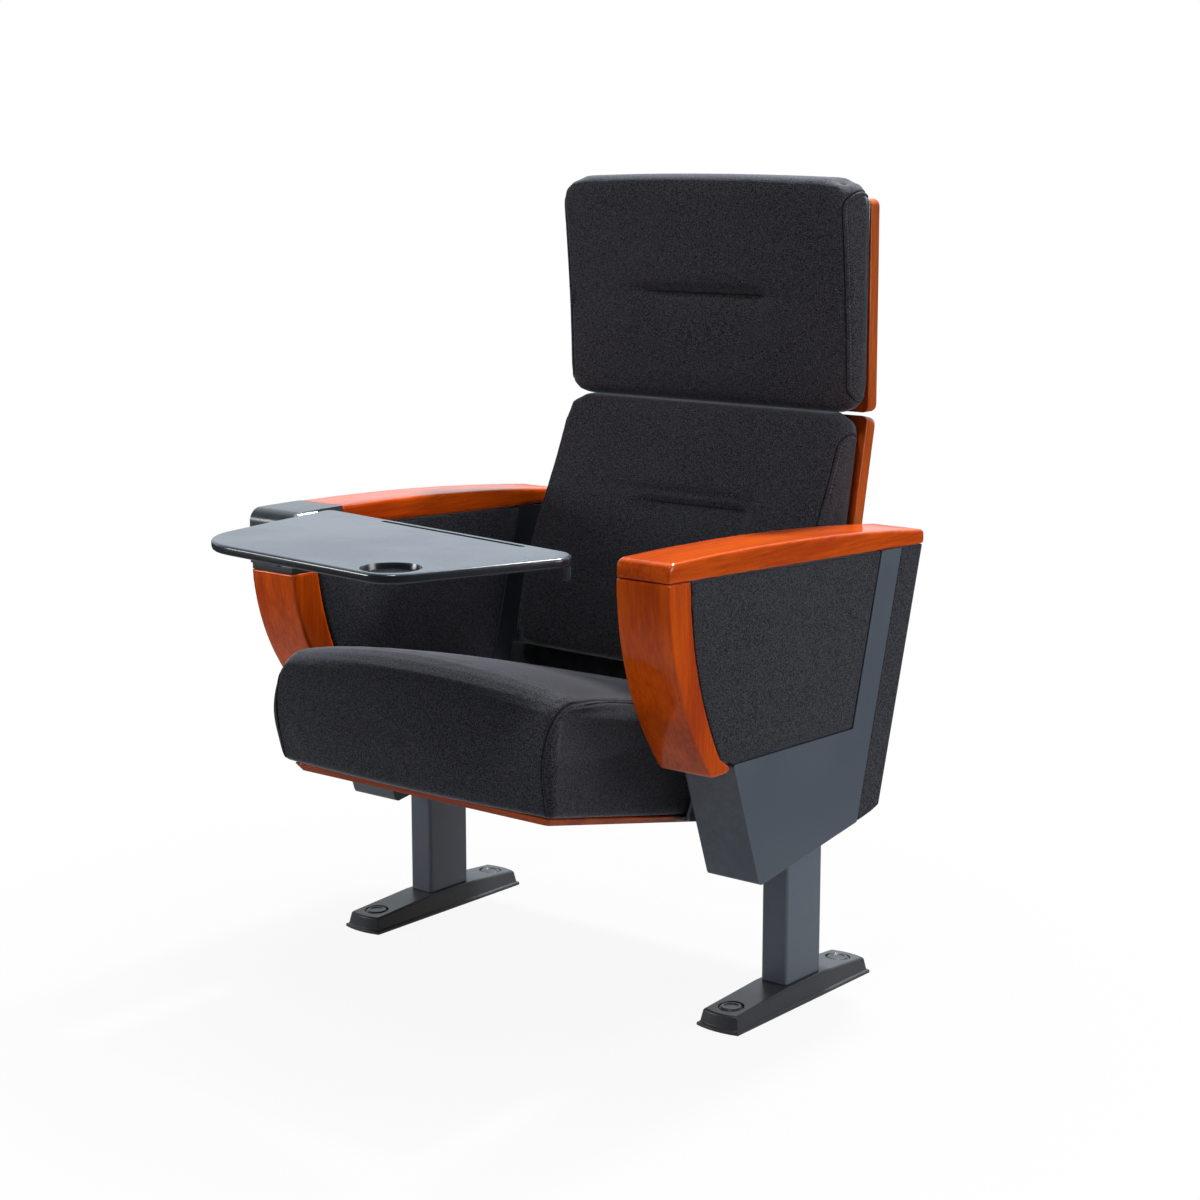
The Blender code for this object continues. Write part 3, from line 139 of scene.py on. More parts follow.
# Baked coating: a fine pebbled skin, cloudy gloss, and edges that are rubbed a little paler.
coating, into, out = new_group(
    "baked_coating",
    [("Where", "Vector", None), ("Colour", "Color", (0.1, 0.1, 0.1, 1)),
     ("Rubbed", "Color", (0.2, 0.2, 0.2, 1)), ("Gloss", "Float", 0.4), ("Pebble", "Float", 900.0)],
    [("Colour", "Color"), ("Roughness", "Float"), ("Height", "Float")])
cloud = noise(coating, into["Where"], 7.0, 4.0)
pebble = noise(coating, into["Where"], into["Pebble"], 2.0)
edge = add(coating, "ShaderNodeNewGeometry").outputs["Pointiness"]
scuff = noise(coating, into["Where"], 60.0, 5.0, 0.7)
rub = maths(coating, "MULTIPLY", span(coating, edge, 0.53, 0.62), span(coating, scuff, 0.35, 0.7))
tint = blend(coating, span(coating, cloud, 0.3, 0.7, 0.0, 0.18), into["Colour"], into["Rubbed"])
coating.links.new(blend(coating, maths(coating, "MULTIPLY", rub, 0.6), tint, into["Rubbed"]), out["Colour"])
shine = maths(coating, "ADD", into["Gloss"], span(coating, cloud, 0.3, 0.7, -0.05, 0.06))
shine = maths(coating, "ADD", shine, span(coating, pebble, 0.3, 0.7, -0.02, 0.04))
coating.links.new(shine, out["Roughness"])
coating.links.new(pebble, out["Height"])


def new_material(name):
    material = bpy.data.materials.new(name)
    material.use_nodes = True
    tree = material.node_tree
    where = add(tree, "ShaderNodeTexCoord").outputs["Object"]
    return material, tree, where, tree.nodes["Principled BSDF"].inputs


def coated(name, colour, rubbed, gloss, pebble=900.0, depth=0.00006, metal=0.0, index=1.5, painted_shade=None):
    """A coated or moulded finish: the coating group with its own colours, with painted shade near black where
    the given shade mask says so.
    """
    material, tree, where, shader = new_material(name)
    skin = add(tree, "ShaderNodeGroup", node_tree=coating)
    tree.links.new(where, skin.inputs["Where"])
    skin.inputs["Colour"].default_value = (*colour, 1)
    skin.inputs["Rubbed"].default_value = (*rubbed, 1)
    skin.inputs["Gloss"].default_value = gloss
    skin.inputs["Pebble"].default_value = pebble
    tint = skin.outputs["Colour"]
    # Painted shade: the colour goes near black where the shade mask says, standing in for shade that falls
    # there.
    if painted_shade:
        place = add(tree, "ShaderNodeSeparateXYZ", {0: where}).outputs
        tint = blend(tree, painted_shade(tree, place), tint, (0.010, 0.011, 0.013, 1))
    tree.links.new(tint, shader["Base Color"])
    tree.links.new(skin.outputs["Roughness"], shader["Roughness"])
    bump = add(tree, "ShaderNodeBump", {"Height": skin.outputs["Height"], "Distance": depth, "Strength": 0.6})
    tree.links.new(bump.outputs[0], shader["Normal"])
    shader["Metallic"].default_value = metal
    shader["IOR"].default_value = index
    return material


black_coat = coated("satin_black_coat", (0.045, 0.050, 0.057), (0.115, 0.124, 0.136), 0.33)
for side in SIDES:
    eased("foot_" + side, "base", "black_steel", black_coat, 0.0012, 3)
    for end in ("front", "rear"):
        eased("foot_cap_%s_%s" % (side, end), "base", "black_plastic", black_coat, 0.0008, 3)


# Posts and side shells. A rectangular steel tube stands on each foot and runs up inside a folded
# steel shell whose front corner is cut back in a slanting facet. Both are coated charcoal. The posts' coat
# is painted lighter to stand in for the light they catch, and the shell's face towards the sitter is
# painted near black as painted shade.

# Painted shade: the mask that paints the shell's face towards the sitter near black, where shade falls.
def painted_inner_face_shade(tree, place):
    return span(tree, maths(tree, "ABSOLUTE", place["X"]), INNER_FACE_X, INNER_FACE_X + 0.002, 0.8, 0.0)


(INNER_FACE_X, _, _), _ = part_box("side_shell_left")
charcoal_coat = coated("satin_charcoal_coat", (0.085, 0.107, 0.140), (0.140, 0.168, 0.206), 0.36)
# Painted shade: the shells' charcoal, painted near black on the face towards the sitter.
shell_coat_painted_shade = coated("satin_shell_coat_painted_shade", (0.085, 0.107, 0.140), (0.140, 0.168, 0.206), 0.36, painted_shade=painted_inner_face_shade)
# Painted light: the same charcoal as the shells, painted lighter to stand in for the light the posts catch.
painted_light_tube_coat = coated("satin_tube_coat_painted_light", (0.118, 0.142, 0.182), (0.160, 0.188, 0.226), 0.36)
for side in SIDES:
    eased("post_" + side, "base", "charcoal_steel", painted_light_tube_coat, 0.0008)
    eased("side_shell_" + side, "base", "charcoal_steel", shell_coat_painted_shade, 0.0012, 3)


# Arm cores. A particle board stands between the two arm panels and carries the armrest.
# It is out of sight, so it keeps its CAD form.

core_board = coated("core_board", (0.33, 0.24, 0.15), (0.45, 0.34, 0.22), 0.8, 160.0, 0.0004)
for side in SIDES:
    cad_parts["arm_core_" + side].data.materials.clear()
    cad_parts["arm_core_" + side].data.materials.append(core_board)


# Arm panels and rear strips. Thin boards wrapped in the chair's charcoal cloth, the edges drawn round and
# stapled behind. They are pressed on to the core, with the shell showing between panel and strip.

# Woven cloth: two sets of threads that cross, thick and thin places along each thread, and pale flecks.
# The threads run across and up on the front and top, and along and up on the sides.
weave, into, out = new_group(
    "plain_weave",
    [("Where", "Vector", None), ("Pitch", "Float", 0.0013)],
    [("Thread", "Float"), ("Fleck", "Float"), ("Height", "Float")])
place = add(weave, "ShaderNodeSeparateXYZ", {0: into["Where"]}).outputs
normal = add(weave, "ShaderNodeNewGeometry").outputs["Normal"]
facing = add(weave, "ShaderNodeSeparateXYZ", {0: normal}).outputs["X"]
sideways = span(weave, maths(weave, "ABSOLUTE", facing), 0.66, 0.72)
fold = maths(weave, "ADD", place["Y"], place["Z"])
across = add(weave, "ShaderNodeMix", {0: sideways, 2: place["X"], 3: place["Y"]}).outputs[0]
along = add(weave, "ShaderNodeMix", {0: sideways, 2: fold, 3: place["Z"]}).outputs[0]
turn = maths(weave, "DIVIDE", math.pi, into["Pitch"])
warp = maths(weave, "SINE", maths(weave, "MULTIPLY", across, turn))
weft = maths(weave, "SINE", maths(weave, "MULTIPLY", along, turn))
cross = maths(weave, "MULTIPLY", warp, weft)
flat = add(weave, "ShaderNodeCombineXYZ", {0: across, 1: along, 2: 0.0}).outputs[0]
upright = add(weave, "ShaderNodeMapping", {"Vector": flat, "Scale": (1.0, 0.22, 1.0)}).outputs[0]
level = add(weave, "ShaderNodeMapping", {"Vector": flat, "Scale": (0.22, 1.0, 1.0)}).outputs[0]
slub = maths(weave, "MAXIMUM", noise(weave, upright, 620.0, 3.0, 0.6), noise(weave, level, 620.0, 3.0, 0.6))
speck = maths(weave, "MULTIPLY", noise(weave, into["Where"], 700.0, 1.0), 0.8)
clump = maths(weave, "ADD", speck, maths(weave, "MULTIPLY", slub, 0.5))
yarn = maths(weave, "ADD", clump, maths(weave, "MULTIPLY", cross, 0.04))
weave.links.new(span(weave, yarn, 0.54, 0.80), out["Thread"])
weave.links.new(span(weave, noise(weave, into["Where"], 1100.0, 2.0, 0.6), 0.62, 0.74), out["Fleck"])
weave.links.new(maths(weave, "ADD", maths(weave, "MULTIPLY", cross, 0.15), clump), out["Height"])


def woven(name, dark, pale, fleck, sheen, seam=None):
    """The chair's cloth. Where the piece carries a seam attribute, the seam is a fine dark line."""
    material, tree, where, shader = new_material(name)
    cloth = add(tree, "ShaderNodeGroup", node_tree=weave)
    tree.links.new(where, cloth.inputs["Where"])
    worn = span(tree, noise(tree, where, 9.0, 3.0), 0.3, 0.7, 0.0, 0.25)
    colour = blend(tree, cloth.outputs["Thread"], (*dark, 1), (*pale, 1))
    colour = blend(tree, maths(tree, "MULTIPLY", cloth.outputs["Fleck"], 0.35), colour, (*fleck, 1))
    colour = blend(tree, maths(tree, "MULTIPLY", worn, 0.5), colour, (*pale, 1))
    if seam:
        off = maths(tree, "ABSOLUTE", add(tree, "ShaderNodeAttribute", attribute_name=seam).outputs["Fac"])
        line = span(tree, off, 0.0005, 0.0016, 1.0, 0.0)
        colour = blend(tree, maths(tree, "MULTIPLY", line, 0.8), colour, (0.004, 0.004, 0.005, 1))
    tree.links.new(colour, shader["Base Color"])
    tree.links.new(span(tree, cloth.outputs["Thread"], 0.0, 1.0, 0.95, 0.82), shader["Roughness"])
    relief = {"Height": cloth.outputs["Height"], "Distance": 0.0004, "Strength": 0.5}
    bump = add(tree, "ShaderNodeBump", relief)
    tree.links.new(bump.outputs[0], shader["Normal"])
    shader["Sheen Weight"].default_value = sheen
    shader["Sheen Roughness"].default_value = 0.35
    shader["Sheen Tint"].default_value = (0.75, 0.82, 0.95, 1)
    shader["Specular IOR Level"].default_value = 0.2
    return material


CLOTH_DARK, CLOTH_PALE, CLOTH_FLECK = (0.0055, 0.0058, 0.0078), (0.064, 0.065, 0.079), (0.16, 0.163, 0.182)
panel_cloth = woven("charcoal_cloth_panels", CLOTH_DARK, CLOTH_PALE, CLOTH_FLECK, 0.3)
for side in SIDES:
    for name in ("outer_panel_", "inner_panel_", "rear_strip_"):
        eased(name + side, "base", "fabric", panel_cloth, 0.0025, 4)


# Armrests and arm fronts. Solid beech, stained cherry and sprayed with gloss lacquer. The front is bent
# from the armrest down to a hooked toe under the panel, with a fine joint line between the two.

grain, into, out = new_group(
    "beech_grain",
    [("Where", "Vector", None)],
    [("Tone", "Float"), ("Pore", "Float"), ("Height", "Float")])
streaked = add(grain, "ShaderNodeMapping", {"Vector": into["Where"], "Scale": (1.0, 14.0, 14.0)}).outputs[0]
figure = add(grain, "ShaderNodeMapping", {"Vector": into["Where"], "Scale": (0.6, 4.0, 4.0)}).outputs[0]
flecked = add(grain, "ShaderNodeMapping", {"Vector": into["Where"], "Scale": (1.0, 7.0, 7.0)}).outputs[0]
broad = noise(grain, figure, 5.0, 4.0, 0.55)
fine = noise(grain, streaked, 16.0, 5.0, 0.65)
tone = maths(grain, "ADD", maths(grain, "MULTIPLY", broad, 0.6), maths(grain, "MULTIPLY", fine, 0.4))
grain.links.new(span(grain, tone, 0.34, 0.66), out["Tone"])
pore = span(grain, noise(grain, flecked, 150.0, 2.0, 0.5), 0.6, 0.72)
grain.links.new(pore, out["Pore"])
grain.links.new(maths(grain, "MULTIPLY", fine, 0.3), out["Height"])


def lacquered(name, turn, coat=0.6, dark=(0.46, 0.044, 0.0008), pale=(0.78, 0.111, 0.0018)):
    """Stained and lacquered beech. turn lays the grain along the piece."""
    material, tree, where, shader = new_material(name)
    lengthwise = add(tree, "ShaderNodeMapping", {"Vector": where, "Rotation": turn}).outputs[0]
    beech = add(tree, "ShaderNodeGroup", node_tree=grain)
    tree.links.new(lengthwise, beech.inputs["Where"])
    colour = blend(tree, beech.outputs["Tone"], (*dark, 1), (*pale, 1))
    pores = maths(tree, "MULTIPLY", beech.outputs["Pore"], 0.3)
    colour = blend(tree, pores, colour, (0.26, 0.022, 0.0006, 1))
    tree.links.new(colour, shader["Base Color"])
    tree.links.new(span(tree, beech.outputs["Tone"], 0.0, 1.0, 0.42, 0.32), shader["Roughness"])
    relief = {"Height": beech.outputs["Height"], "Distance": 0.0002, "Strength": 0.25}
    bump = add(tree, "ShaderNodeBump", relief)
    tree.links.new(bump.outputs[0], shader["Normal"])
    shader["Coat Weight"].default_value = coat
    shader["Coat Roughness"].default_value = 0.10
    shader["Coat IOR"].default_value = 1.5
    shader["Specular IOR Level"].default_value = 0.06
    return material


def shown(piece):
    """A new mesh of a piece with its modifiers applied."""
    return bpy.data.meshes.new_from_object(piece.evaluated_get(bpy.context.evaluated_depsgraph_get()))


def even_mesh(solid, name, size):
    """An object of the same solid, with small even faces all over, and its mesh."""
    mesh = bpy.data.meshes.new(name)
    solid.to_mesh(mesh)
    solid.free()
    holder = bpy.data.objects.new(name, mesh)
    bpy.context.scene.collection.objects.link(holder)
    grid = holder.modifiers.new("even_mesh", "REMESH")
    grid.mode, grid.voxel_size, grid.adaptivity = "VOXEL", size, 0.0
    even = shown(holder)
    holder.modifiers.clear()
    holder.data = even
    return holder, even


def relax(bm, rounds):
    for _ in range(rounds):
        bmesh.ops.smooth_vert(bm, verts=bm.verts, factor=0.5,
                              use_axis_x=True, use_axis_y=True, use_axis_z=True)


def sanded(node, material, size, rounds):
    """The wooden node's own form with its edges sanded round."""
    holder, even = even_mesh(node_copy(node), node + "_blank", size)
    bm = bmesh.new()
    bm.from_mesh(even)
    bpy.data.objects.remove(holder)
    relax(bm, rounds)
    set_down(bm, node + "_finished", "base", "wood", material, node)


wood_along = lacquered("lacquered_beech_along", (0, 0, math.radians(90)))
wood_upright = lacquered("lacquered_beech_upright", (0, math.radians(90), 0))
for side in SIDES:
    sanded("arm_cap_" + side, wood_along, 0.0018, 8)
    sanded("arm_front_" + side, wood_upright, 0.0016, 14)


# Tablet hinge. A moulded nose takes the place of the front of the right armrest, over a dark base plate.
# A steel bracket in it carries the pin that the writing board's leaf turns on.

grey_plastic = coated("satin_grey_plastic", (0.05, 0.058, 0.068), (0.11, 0.12, 0.135), 0.27, 1400.0, 0.00004)
dark_plastic = coated("dark_base_plastic", (0.020, 0.022, 0.026), (0.06, 0.065, 0.072), 0.4)
plain_steel = coated("plain_steel", (0.52, 0.53, 0.55), (0.66, 0.67, 0.69), 0.32, 300.0, 0.00003, 1.0)
eased("tablet_cover", "base", "grey_plastic", grey_plastic, 0.0006)
eased("tablet_base", "base", "black_plastic", dark_plastic, 0.0006)
eased("tablet_bracket", "base", "steel", plain_steel, 0.0004)
eased("tablet_hinge_pin", "base", "steel", plain_steel, 0.0004)
eased("tablet_leaf", "tablet", "steel", plain_steel, 0.0004)


# Writing board. One moulded plastic board with a slanted free end, a shallow cup recess, a pen groove
# along its rear edge, and a finger hook under the tip.

def painted_recess_shade(tree, place):
    """Painted shade on the board's rim, in the cup recess and in the groove, but not on the hook that hangs
    under the board.
    """
    rim = span(tree, place["Z"], BOARD_TOP - 0.0030, BOARD_TOP - 0.0008, 0.75, 0.0)
    return maths(tree, "MULTIPLY", rim, span(tree, place["Z"], BOARD_TOP - 0.0135, BOARD_TOP - 0.0120))


_, (_, _, BOARD_TOP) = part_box("tablet_board")
# Painted shade: the board's rim, cup recess and groove are painted near black where shade falls.
board_plastic_painted_shade = coated("satin_board_plastic_painted_shade", (0.050, 0.064, 0.088), (0.10, 0.118, 0.145), 0.20,
                       1400.0, 0.00004, index=1.65, painted_shade=painted_recess_shade)
eased("tablet_board", "tablet", "grey_plastic", board_plastic_painted_shade, 0.0005)


# Back frame and outer panels. Two steel stiles and a cross rail join the back to the sides. The outer
# panels are bent plywood, stained and lacquered like the arms, set off from the cushions by a dark gap.

for side in SIDES:
    eased("back_stile_" + side, "base", "black_steel", black_coat, 0.0006)
RAIL_SKIRT = 0.008
bm = node_copy("back_rail")
rail_middle = sum(v.co.z for v in bm.verts) / len(bm.verts)
for v in bm.verts:
    v.co.z -= RAIL_SKIRT if v.co.z < rail_middle else 0.0
set_down(bm, "back_rail_finished", "base", "black_steel", black_coat, "back_rail")
wood_panel = lacquered("lacquered_beech_plywood", (0, math.radians(90), 0), 0.5,
                       (0.36, 0.062, 0.008), (0.60, 0.128, 0.020))
PANEL_REACH, PANEL_END = 0.002, 0.012
for name, up in (("back_panel_lower", 1), ("back_panel_upper", -1)):
    bm = node_copy(name)
    end = max(v.co.z * up for v in bm.verts)
    for v in bm.verts:
        v.co.z += PANEL_REACH * up if v.co.z * up > end - PANEL_END else 0.0
    eased(name, "base", "wood", wood_panel, 0.0016, 3, bm=bm)


# Seat frame. A lacquered pan under the cushion, a steel strap across it, and an ear on each side that turns
# on a pin in the side shell. A rubber-covered peg stops each ear when the seat is down.

wood_across = lacquered("lacquered_beech_across", (0, 0, 0), 0.25,
                        (0.27, 0.030, 0.0008), (0.47, 0.070, 0.0014))
rubber = coated("stop_rubber", (0.018, 0.018, 0.018), (0.05, 0.05, 0.05), 0.75, 500.0, 0.0001)
eased("seat_pan", "seat", "wood", wood_across, 0.0008)
eased("seat_strap", "seat", "charcoal_steel", charcoal_coat, 0.0006)
for side in SIDES:
    eased("seat_ear_" + side, "seat", "charcoal_steel", charcoal_coat, 0.0006)
    eased("seat_pin_" + side, "base", "steel", plain_steel, 0.0004)
    eased("seat_hub_" + side, "base", "black_plastic", black_coat, 0.0005)
    eased("seat_stop_" + side, "base", "rubber", rubber, 0.0004)


# Cushions. Moulded foam in a sewn cover of the same cloth: a wide front panel that runs over the top, and a
# boxing strip on each side. The back covers are topstitched beside the seam and sewn down across the middle.

COVER_GRID = 0.009
DRAWN_IN, SWELL, FOAM_GIVE = 0.0025, 0.0035, 0.0006
BLOWN_BY_FRAME = 20
SIDE_PAD = 0.022
SEAM_REACH = 0.020
SEAM_GROOVE, SEAM_ROLL, BAND_GROOVE, GROOVE_SPREAD = 0.0016, 0.0008, 0.0006, 0.0012
CREASE_OVER, CREASE_UNDER, CREASE_HALF_HEIGHT = 0.0060, 0.026, 0.014
BACK_BAND, SEAT_BAND = 0.0065, 0.004
BACK_SEAM_BEND = 0.015
STITCH_PITCH, STITCH_RADIUS = 0.0042, 0.00055


def close(gap, near, far):
    """1 up to near, falling softly to 0 at far."""
    share = min(max((far - gap) / (far - near), 0.0), 1.0)
    return share * share * (3 - 2 * share)


def hump(place, middle, spread):
    """1 at the middle, falling to nothing on both sides."""
    return math.exp(-((place - middle) / spread) ** 2)


def pad_sides(solid, edge):
    """Adds a convex pad on each side of a cushion, from edge outwards, so that its sides are flat."""
    for sign in (1, -1):
        pad = bmesh.new()
        for v in solid.verts:
            if v.co.x * sign > edge:
                pad.verts.new(v.co)
        bmesh.ops.convex_hull(pad, input=pad.verts)
        bmesh.ops.delete(pad, geom=[v for v in pad.verts if not v.link_faces], context="VERTS")
        padding = bpy.data.meshes.new("padding")
        pad.to_mesh(padding)
        pad.free()
        solid.from_mesh(padding)
        bmesh.ops.triangulate(solid, faces=solid.faces)


def stuffed(node, held, softer, rounds, fuller=0.0):
    """The CAD cushion drawn in a little, then blown up inside a cover that stays where held(spot, normal).

    The foam is rounded further, in so many rounds, by the share softer(spot, low, high). A cushion that is
    made fuller by a given amount is also padded out to flat sides.
    """
    scene = bpy.context.scene
    solid = node_copy(node)
    bmesh.ops.triangulate(solid, faces=solid.faces)
    low, high = (Vector(end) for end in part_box(node))
    if fuller:
        pad_sides(solid, high.x - SIDE_PAD)
    surface = BVHTree.FromBMesh(solid)
    cover, even = even_mesh(solid, node + "_cover", COVER_GRID)
    bm = bmesh.new()
    bm.from_mesh(even)
    relax(bm, 3)
    for v in bm.verts:
        v.co = surface.find_nearest(v.co)[0]
    bm.normal_update()
    full = [(v.co.copy(), v.normal.copy()) for v in bm.verts]
    for v, (spot, normal) in zip(bm.verts, full):
        v.co = spot - normal * DRAWN_IN
    bm.to_mesh(even)
    rise = [SWELL] * len(full)
    sewn = cover.vertex_groups.new(name="sewn")
    sewn.add([i for i, (spot, normal) in enumerate(full) if held(spot, normal)], 1.0, "REPLACE")
    cloth = cover.modifiers.new("cover", "CLOTH")
    cloth.settings.quality = 4
    cloth.settings.use_pressure = True
    cloth.settings.uniform_pressure_force = 4.0
    cloth.settings.effector_weights.gravity = 0.0
    cloth.settings.vertex_group_mass = "sewn"
    cloth.settings.tension_stiffness = cloth.settings.compression_stiffness = 25.0
    cloth.point_cache.frame_start, cloth.point_cache.frame_end = 1, BLOWN_BY_FRAME
    for number in range(1, BLOWN_BY_FRAME + 1):
        scene.frame_set(number)
    blown = cover.evaluated_get(bpy.context.evaluated_depsgraph_get()).data
    moved = [(v.co - spot).dot(normal) + DRAWN_IN for v, (spot, normal) in zip(blown.vertices, full)]
    rise = [min(max(move, DRAWN_IN - FOAM_GIVE), SWELL) for move in moved]
    cover.modifiers.clear()
    scene.frame_set(1)
    bm.verts.ensure_lookup_table()
    for _ in range(2):
        beside = [sum(rise[e.other_vert(v).index] for e in v.link_edges) / len(v.link_edges)
                  for v in bm.verts]
        rise = [0.5 * own + 0.5 * others for own, others in zip(rise, beside)]
    finer = cover.modifiers.new("finer", "SUBSURF")
    finer.levels = finer.render_levels = 2
    layers = []
    for share in (0.0, 1.0):
        for v, (spot, normal), up in zip(bm.verts, full, rise):
            v.co = spot + normal * (up - DRAWN_IN + fuller) * share
        bm.to_mesh(even)
        even.update()
        layers.append(shown(cover))
    bm.free()
    bpy.data.objects.remove(cover)
    bm = bmesh.new()
    bm.from_mesh(layers[1])
    for v, foam in zip(bm.verts, layers[0].vertices):
        v.co += surface.find_nearest(foam.co)[0] - foam.co
    relax(bm, 4)
    rounder = bm.copy()
    relax(rounder, rounds)
    for v, soft in zip(bm.verts, rounder.verts):
        v.co = v.co.lerp(soft.co, softer(v.co, low, high))
    rounder.free()
    return bm


def from_seam(bm, side_of, sewn):
    """Each vertex's distance from the seam, less than 0 on the front panel.

    side_of(spot) is 0 on the seam, which runs where sewn(normal) holds.
    """
    bm.normal_update()
    side = [side_of(v.co) for v in bm.verts]
    bm.verts.index_update()
    points = []
    for edge in bm.edges:
        a, b = edge.verts
        near, far = side[a.index], side[b.index]
        if near * far <= 0 and near != far and sewn(a.normal):
            points.append(a.co.lerp(b.co, near / (near - far)))
    line = KDTree(len(points))
    for i, point in enumerate(points):
        line.insert(point, i)
    line.balance()
    away = []
    for v, s in zip(bm.verts, side):
        gap = line.find(v.co)[2] if abs(s) < SEAM_REACH else SEAM_REACH
        away.append(math.copysign(abs(s) / 0.85 if gap < 0.003 else min(gap, SEAM_REACH), s))
    return away


def refine(bm, wanted):
    """Halves the mesh where wanted(vertex) holds, so that it can carry sewing."""
    marked = {v for v in bm.verts if wanted(v)}
    edges = [e for e in bm.edges if e.verts[0] in marked and e.verts[1] in marked]
    bmesh.ops.subdivide_edges(bm, edges=edges, cuts=1, use_grid_fill=True)
    bm.verts.index_update()


def sew(bm, side_of, sewn, band, crease=None):
    """Draws the cover in along its seam and its crease, and returns the distances from the seam.

    The seam is a groove with a rolled band beside it, band wide. crease is (height, middle, half width,
    depth), and is pressed straight into the front.
    """
    away = from_seam(bm, side_of, sewn)
    refine(bm, lambda v: abs(away[v.index]) < 2.2 * band
           or crease and v.normal.y < -0.4 and abs(v.co.z - crease[0]) < CREASE_HALF_HEIGHT)
    away = from_seam(bm, side_of, sewn)
    for v, d in zip(bm.verts, away):
        rise = 0.0
        if abs(d) < SEAM_REACH:
            rise = (SEAM_ROLL * hump(d, band / 2, band / 3) - SEAM_GROOVE * hump(d, 0, GROOVE_SPREAD)
                    - BAND_GROOVE * hump(d, band, GROOVE_SPREAD))
        if crease and v.normal.y < -0.4:
            up = v.co.z - crease[0]
            inside = (close(v.co.x - crease[1] - crease[2], -0.030, 0.004)
                      * close(crease[1] - crease[2] - v.co.x, -0.070, 0.0))
            v.co.y += inside * crease[3] / (math.exp(up / CREASE_OVER) + math.exp(-up / CREASE_UNDER))
        v.co += v.normal * rise
        if crease and v.normal.y < -0.4 and abs(up) < abs(d):
            away[v.index] = up + math.copysign(0.003 * (1 - inside), up)
    return away


def covered(bm, node, body, away):
    """Sets a sewn cover down as a cushion, with the distance from the seam stored for the cloth."""
    stored = bm.verts.layers.float.new("seam")
    for v, d in zip(bm.verts, away):
        v[stored] = d
    set_down(bm, node + "_covered", body, "fabric", cushion_cloth, node)


def topstitch(bm, away, node, row, low, high):
    """A row of stitches down each side of a back cushion, row beyond the seam, between two heights."""
    crossings = []
    for edge in bm.edges:
        a, b = (away[v.index] - row for v in edge.verts)
        if a * b <= 0 and a != b and min(v.normal.y for v in edge.verts) < 0.5:
            crossings.append(edge.verts[0].co.lerp(edge.verts[1].co, a / (a - b)))
    threads = bmesh.new()
    for sign in (1, -1):
        beads = []
        for i in range(int((high - low) / STITCH_PITCH)):
            z = low + i * STITCH_PITCH
            near = [p for p in crossings if p.x * sign > 0 and abs(p.z - z) < 0.0016]
            if near:
                front = min(p.y for p in near) + 0.002
                row_here = [p for p in near if p.y < front]
                beads.append(sum(row_here, Vector()) / len(row_here))
        for here, there in zip(beads, beads[1:]):
            along = (there - here).to_track_quat("Z", "X").to_matrix().to_4x4()
            stitch = Matrix.Diagonal((STITCH_RADIUS, STITCH_RADIUS, STITCH_PITCH * 0.34, 1))
            shape = Matrix.Translation(here) @ along @ stitch
            bmesh.ops.create_uvsphere(threads, u_segments=6, v_segments=4, radius=1.0, matrix=shape)
    set_down(threads, node + "_topstitch", "base", "fabric", thread)


cushion_cloth = woven("charcoal_cloth_cushions", CLOTH_DARK, CLOTH_PALE, CLOTH_FLECK, 0.6, "seam")
thread = coated("sewing_thread", (0.10, 0.10, 0.11), (0.2, 0.2, 0.22), 0.6, 3000.0, 0.00003)


def four_corners(spot, low, high):
    end = min(high.z - spot.z, spot.z - low.z)
    return close(high.x - abs(spot.x), 0.015, 0.045) * close(end, 0.015, 0.045)


def headrest(spot, low, high):
    """The corners and the broad roll over the top, which ends at the outer panel."""
    over = close(high.z - spot.z, 0.015, 0.050) * close(0.030 - high.y + spot.y, 0.0, 0.022)
    return max(over, four_corners(spot, low, high))


for node, seam_x, crease, softer in (
        ("back_cushion_lower", 0.2360, (0.605, 0.020, 0.118, 0.0240), four_corners),
        ("back_cushion_upper", 0.2368, (0.8945, -0.006, 0.126, 0.0140), headrest)):
    def held(spot, normal):
        across = normal.y < -0.3 and abs(spot.z - crease[0]) < 0.006 and abs(spot.x - crease[1]) < crease[2]
        return normal.y > 0.6 or across

    def back_side(spot):
        bend = close(spot.z - low, 0.0, 0.035) + close(high - spot.z, 0.0, 0.045)
        return abs(spot.x) - seam_x - BACK_SEAM_BEND * bend

    (_, _, low), (_, _, high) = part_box(node)
    bm = stuffed(node, held, softer, 48, 0.0016)
    away = sew(bm, back_side, lambda normal: normal.y < 0.6, BACK_BAND, crease)
    topstitch(bm, away, node, BACK_BAND, low + 0.02, high - 0.028)
    covered(bm, node, "base", away)

# The seat's seam swings out round the front nose.
SEAT_NOSE, SEAT_SEAM_X, SEAT_SWING = Vector((-0.2167, 0.4444)), 0.2215, 0.009


def seat_side(spot):
    swing = hump((spot.yz - SEAT_NOSE).length, 0, 0.07)
    return abs(spot.x) - SEAT_SEAM_X - SEAT_SWING * swing


bm = stuffed("seat_cushion", lambda spot, normal: normal.z < -0.75, four_corners, 10)
away = sew(bm, seat_side, lambda normal: normal.z > -0.6 and normal.y < 0.75, SEAT_BAND)
covered(bm, "seat_cushion", "seat", away)


# The studio: a pale floor that runs to a white backdrop, soft boxes above and to both sides, and a camera at
# the photograph's place. The room on the camera's side is dim, so polish shows the backdrop and little else.

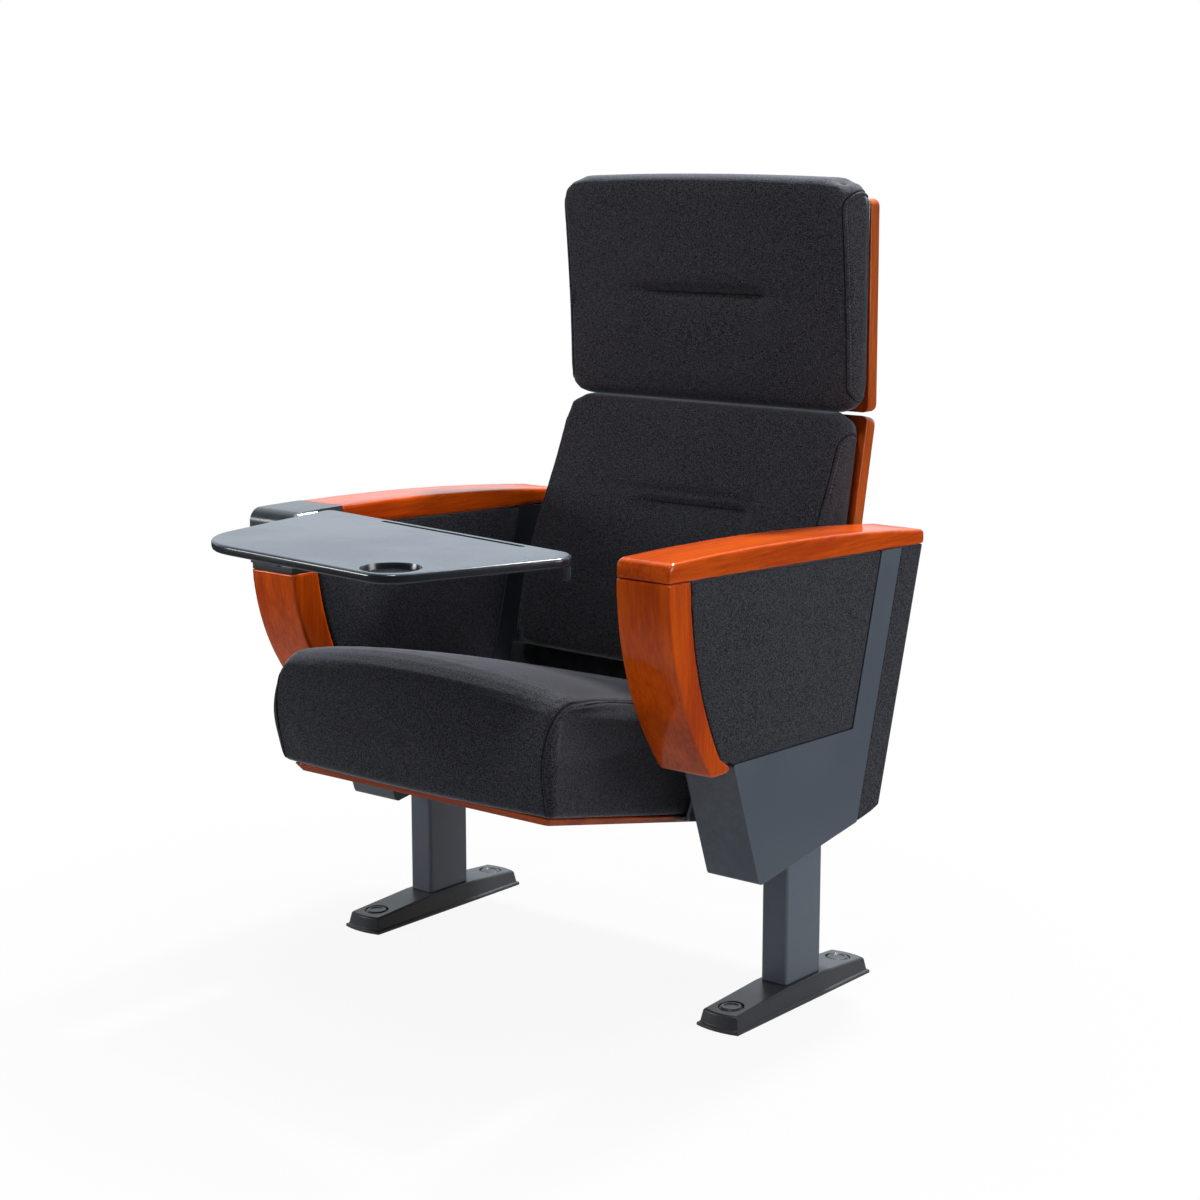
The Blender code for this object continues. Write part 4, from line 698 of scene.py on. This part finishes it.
floor_paint, tree, where, shader = new_material("pale_floor")
shader["Base Color"].default_value = (0.5, 0.5, 0.5, 1)
shader["Roughness"].default_value = 0.9
path = add(tree, "ShaderNodeLightPath").outputs
reach = add(tree, "ShaderNodeVectorMath", {0: where}, operation="LENGTH").outputs["Value"]
straight = maths(tree, "MAXIMUM", path["Is Camera Ray"], path["Is Transmission Ray"])
level = maths(tree, "MAXIMUM", straight, span(tree, reach, 0.7, 1.6, 0.40, 0.06))
glow = add(tree, "ShaderNodeEmission", {"Color": (1, 1, 1, 1), "Strength": level})
share = maths(tree, "MULTIPLY", straight, span(tree, reach, 0.2, 1.1, 0.92, 1.0))
share = maths(tree, "MAXIMUM", share, path["Is Glossy Ray"])
paint = tree.nodes["Principled BSDF"].outputs[0]
mixed = add(tree, "ShaderNodeMixShader", {0: share, 1: paint, 2: glow.outputs[0]})
tree.links.new(mixed.outputs[0], tree.nodes["Material Output"].inputs["Surface"])
bm = bmesh.new()
bmesh.ops.create_grid(bm, x_segments=1, y_segments=1, size=30.0)
mesh = bpy.data.meshes.new("floor")
bm.to_mesh(mesh)
bm.free()
mesh.materials.append(floor_paint)
floor = bpy.data.objects.new("floor", mesh)
bpy.context.scene.collection.objects.link(floor)

AMBIENT, DIM, AWAY = 0.07, 0.03, (-0.62, 0.78, 0.1)
world = bpy.data.worlds.new("white_backdrop")
world.use_nodes = True
bpy.context.scene.world = world
tree = world.node_tree
backdrop = tree.nodes["Background"].inputs
path = add(tree, "ShaderNodeLightPath").outputs
tree.links.new(blend(tree, path["Is Glossy Ray"], (1, 1, 1, 1), (0.84, 0.93, 1, 1)), backdrop["Color"])
toward = add(tree, "ShaderNodeTexCoord").outputs["Generated"]
ahead = add(tree, "ShaderNodeVectorMath", {0: toward, 1: AWAY}, operation="DOT_PRODUCT").outputs["Value"]
mirrored = maths(tree, "MAXIMUM", path["Is Glossy Ray"], path["Is Transmission Ray"])
bright = span(tree, ahead, 0.25, 0.70, DIM, 1.0)
level = add(tree, "ShaderNodeMix", {0: mirrored, 2: AMBIENT, 3: bright}).outputs[0]
tree.links.new(maths(tree, "MAXIMUM", level, path["Is Camera Ray"]), backdrop["Strength"])

for name, spot, aim, size, power in (
        ("key_above", (0.0, 1.41, 2.72), (0, 0.05, 0.5), 0.2, 105),
        ("box_right", (2.0, 0.7, 1.05), (0, 0.1, 0.6), 0.9, 16.5),
        ("box_front", (0.4, -1.15, 3.2), (0, 0, 0.6), 0.5, 26),
        ("box_left", (-1.8, -1.7, 0.95), (-0.1, 0, 0.5), 0.6, 16)):
    lamp = bpy.data.lights.new(name, "AREA")
    lamp.size, lamp.energy = size, power
    holder = bpy.data.objects.new(name, lamp)
    holder.location = spot
    holder.rotation_euler = (Vector(aim) - Vector(spot)).to_track_quat("-Z", "Y").to_euler()
    bpy.context.scene.collection.objects.link(holder)

camera = bpy.data.objects.new("camera", bpy.data.cameras.new("camera"))
camera.location = (1.9921, -2.33, 1.0913)
camera.rotation_euler = (math.radians(79.308), 0, math.radians(38.948))
camera.data.sensor_width, camera.data.lens = 36.0, 71.618
bpy.context.scene.collection.objects.link(camera)
bpy.context.scene.camera = camera
bpy.context.scene.view_settings.view_transform = "Standard"
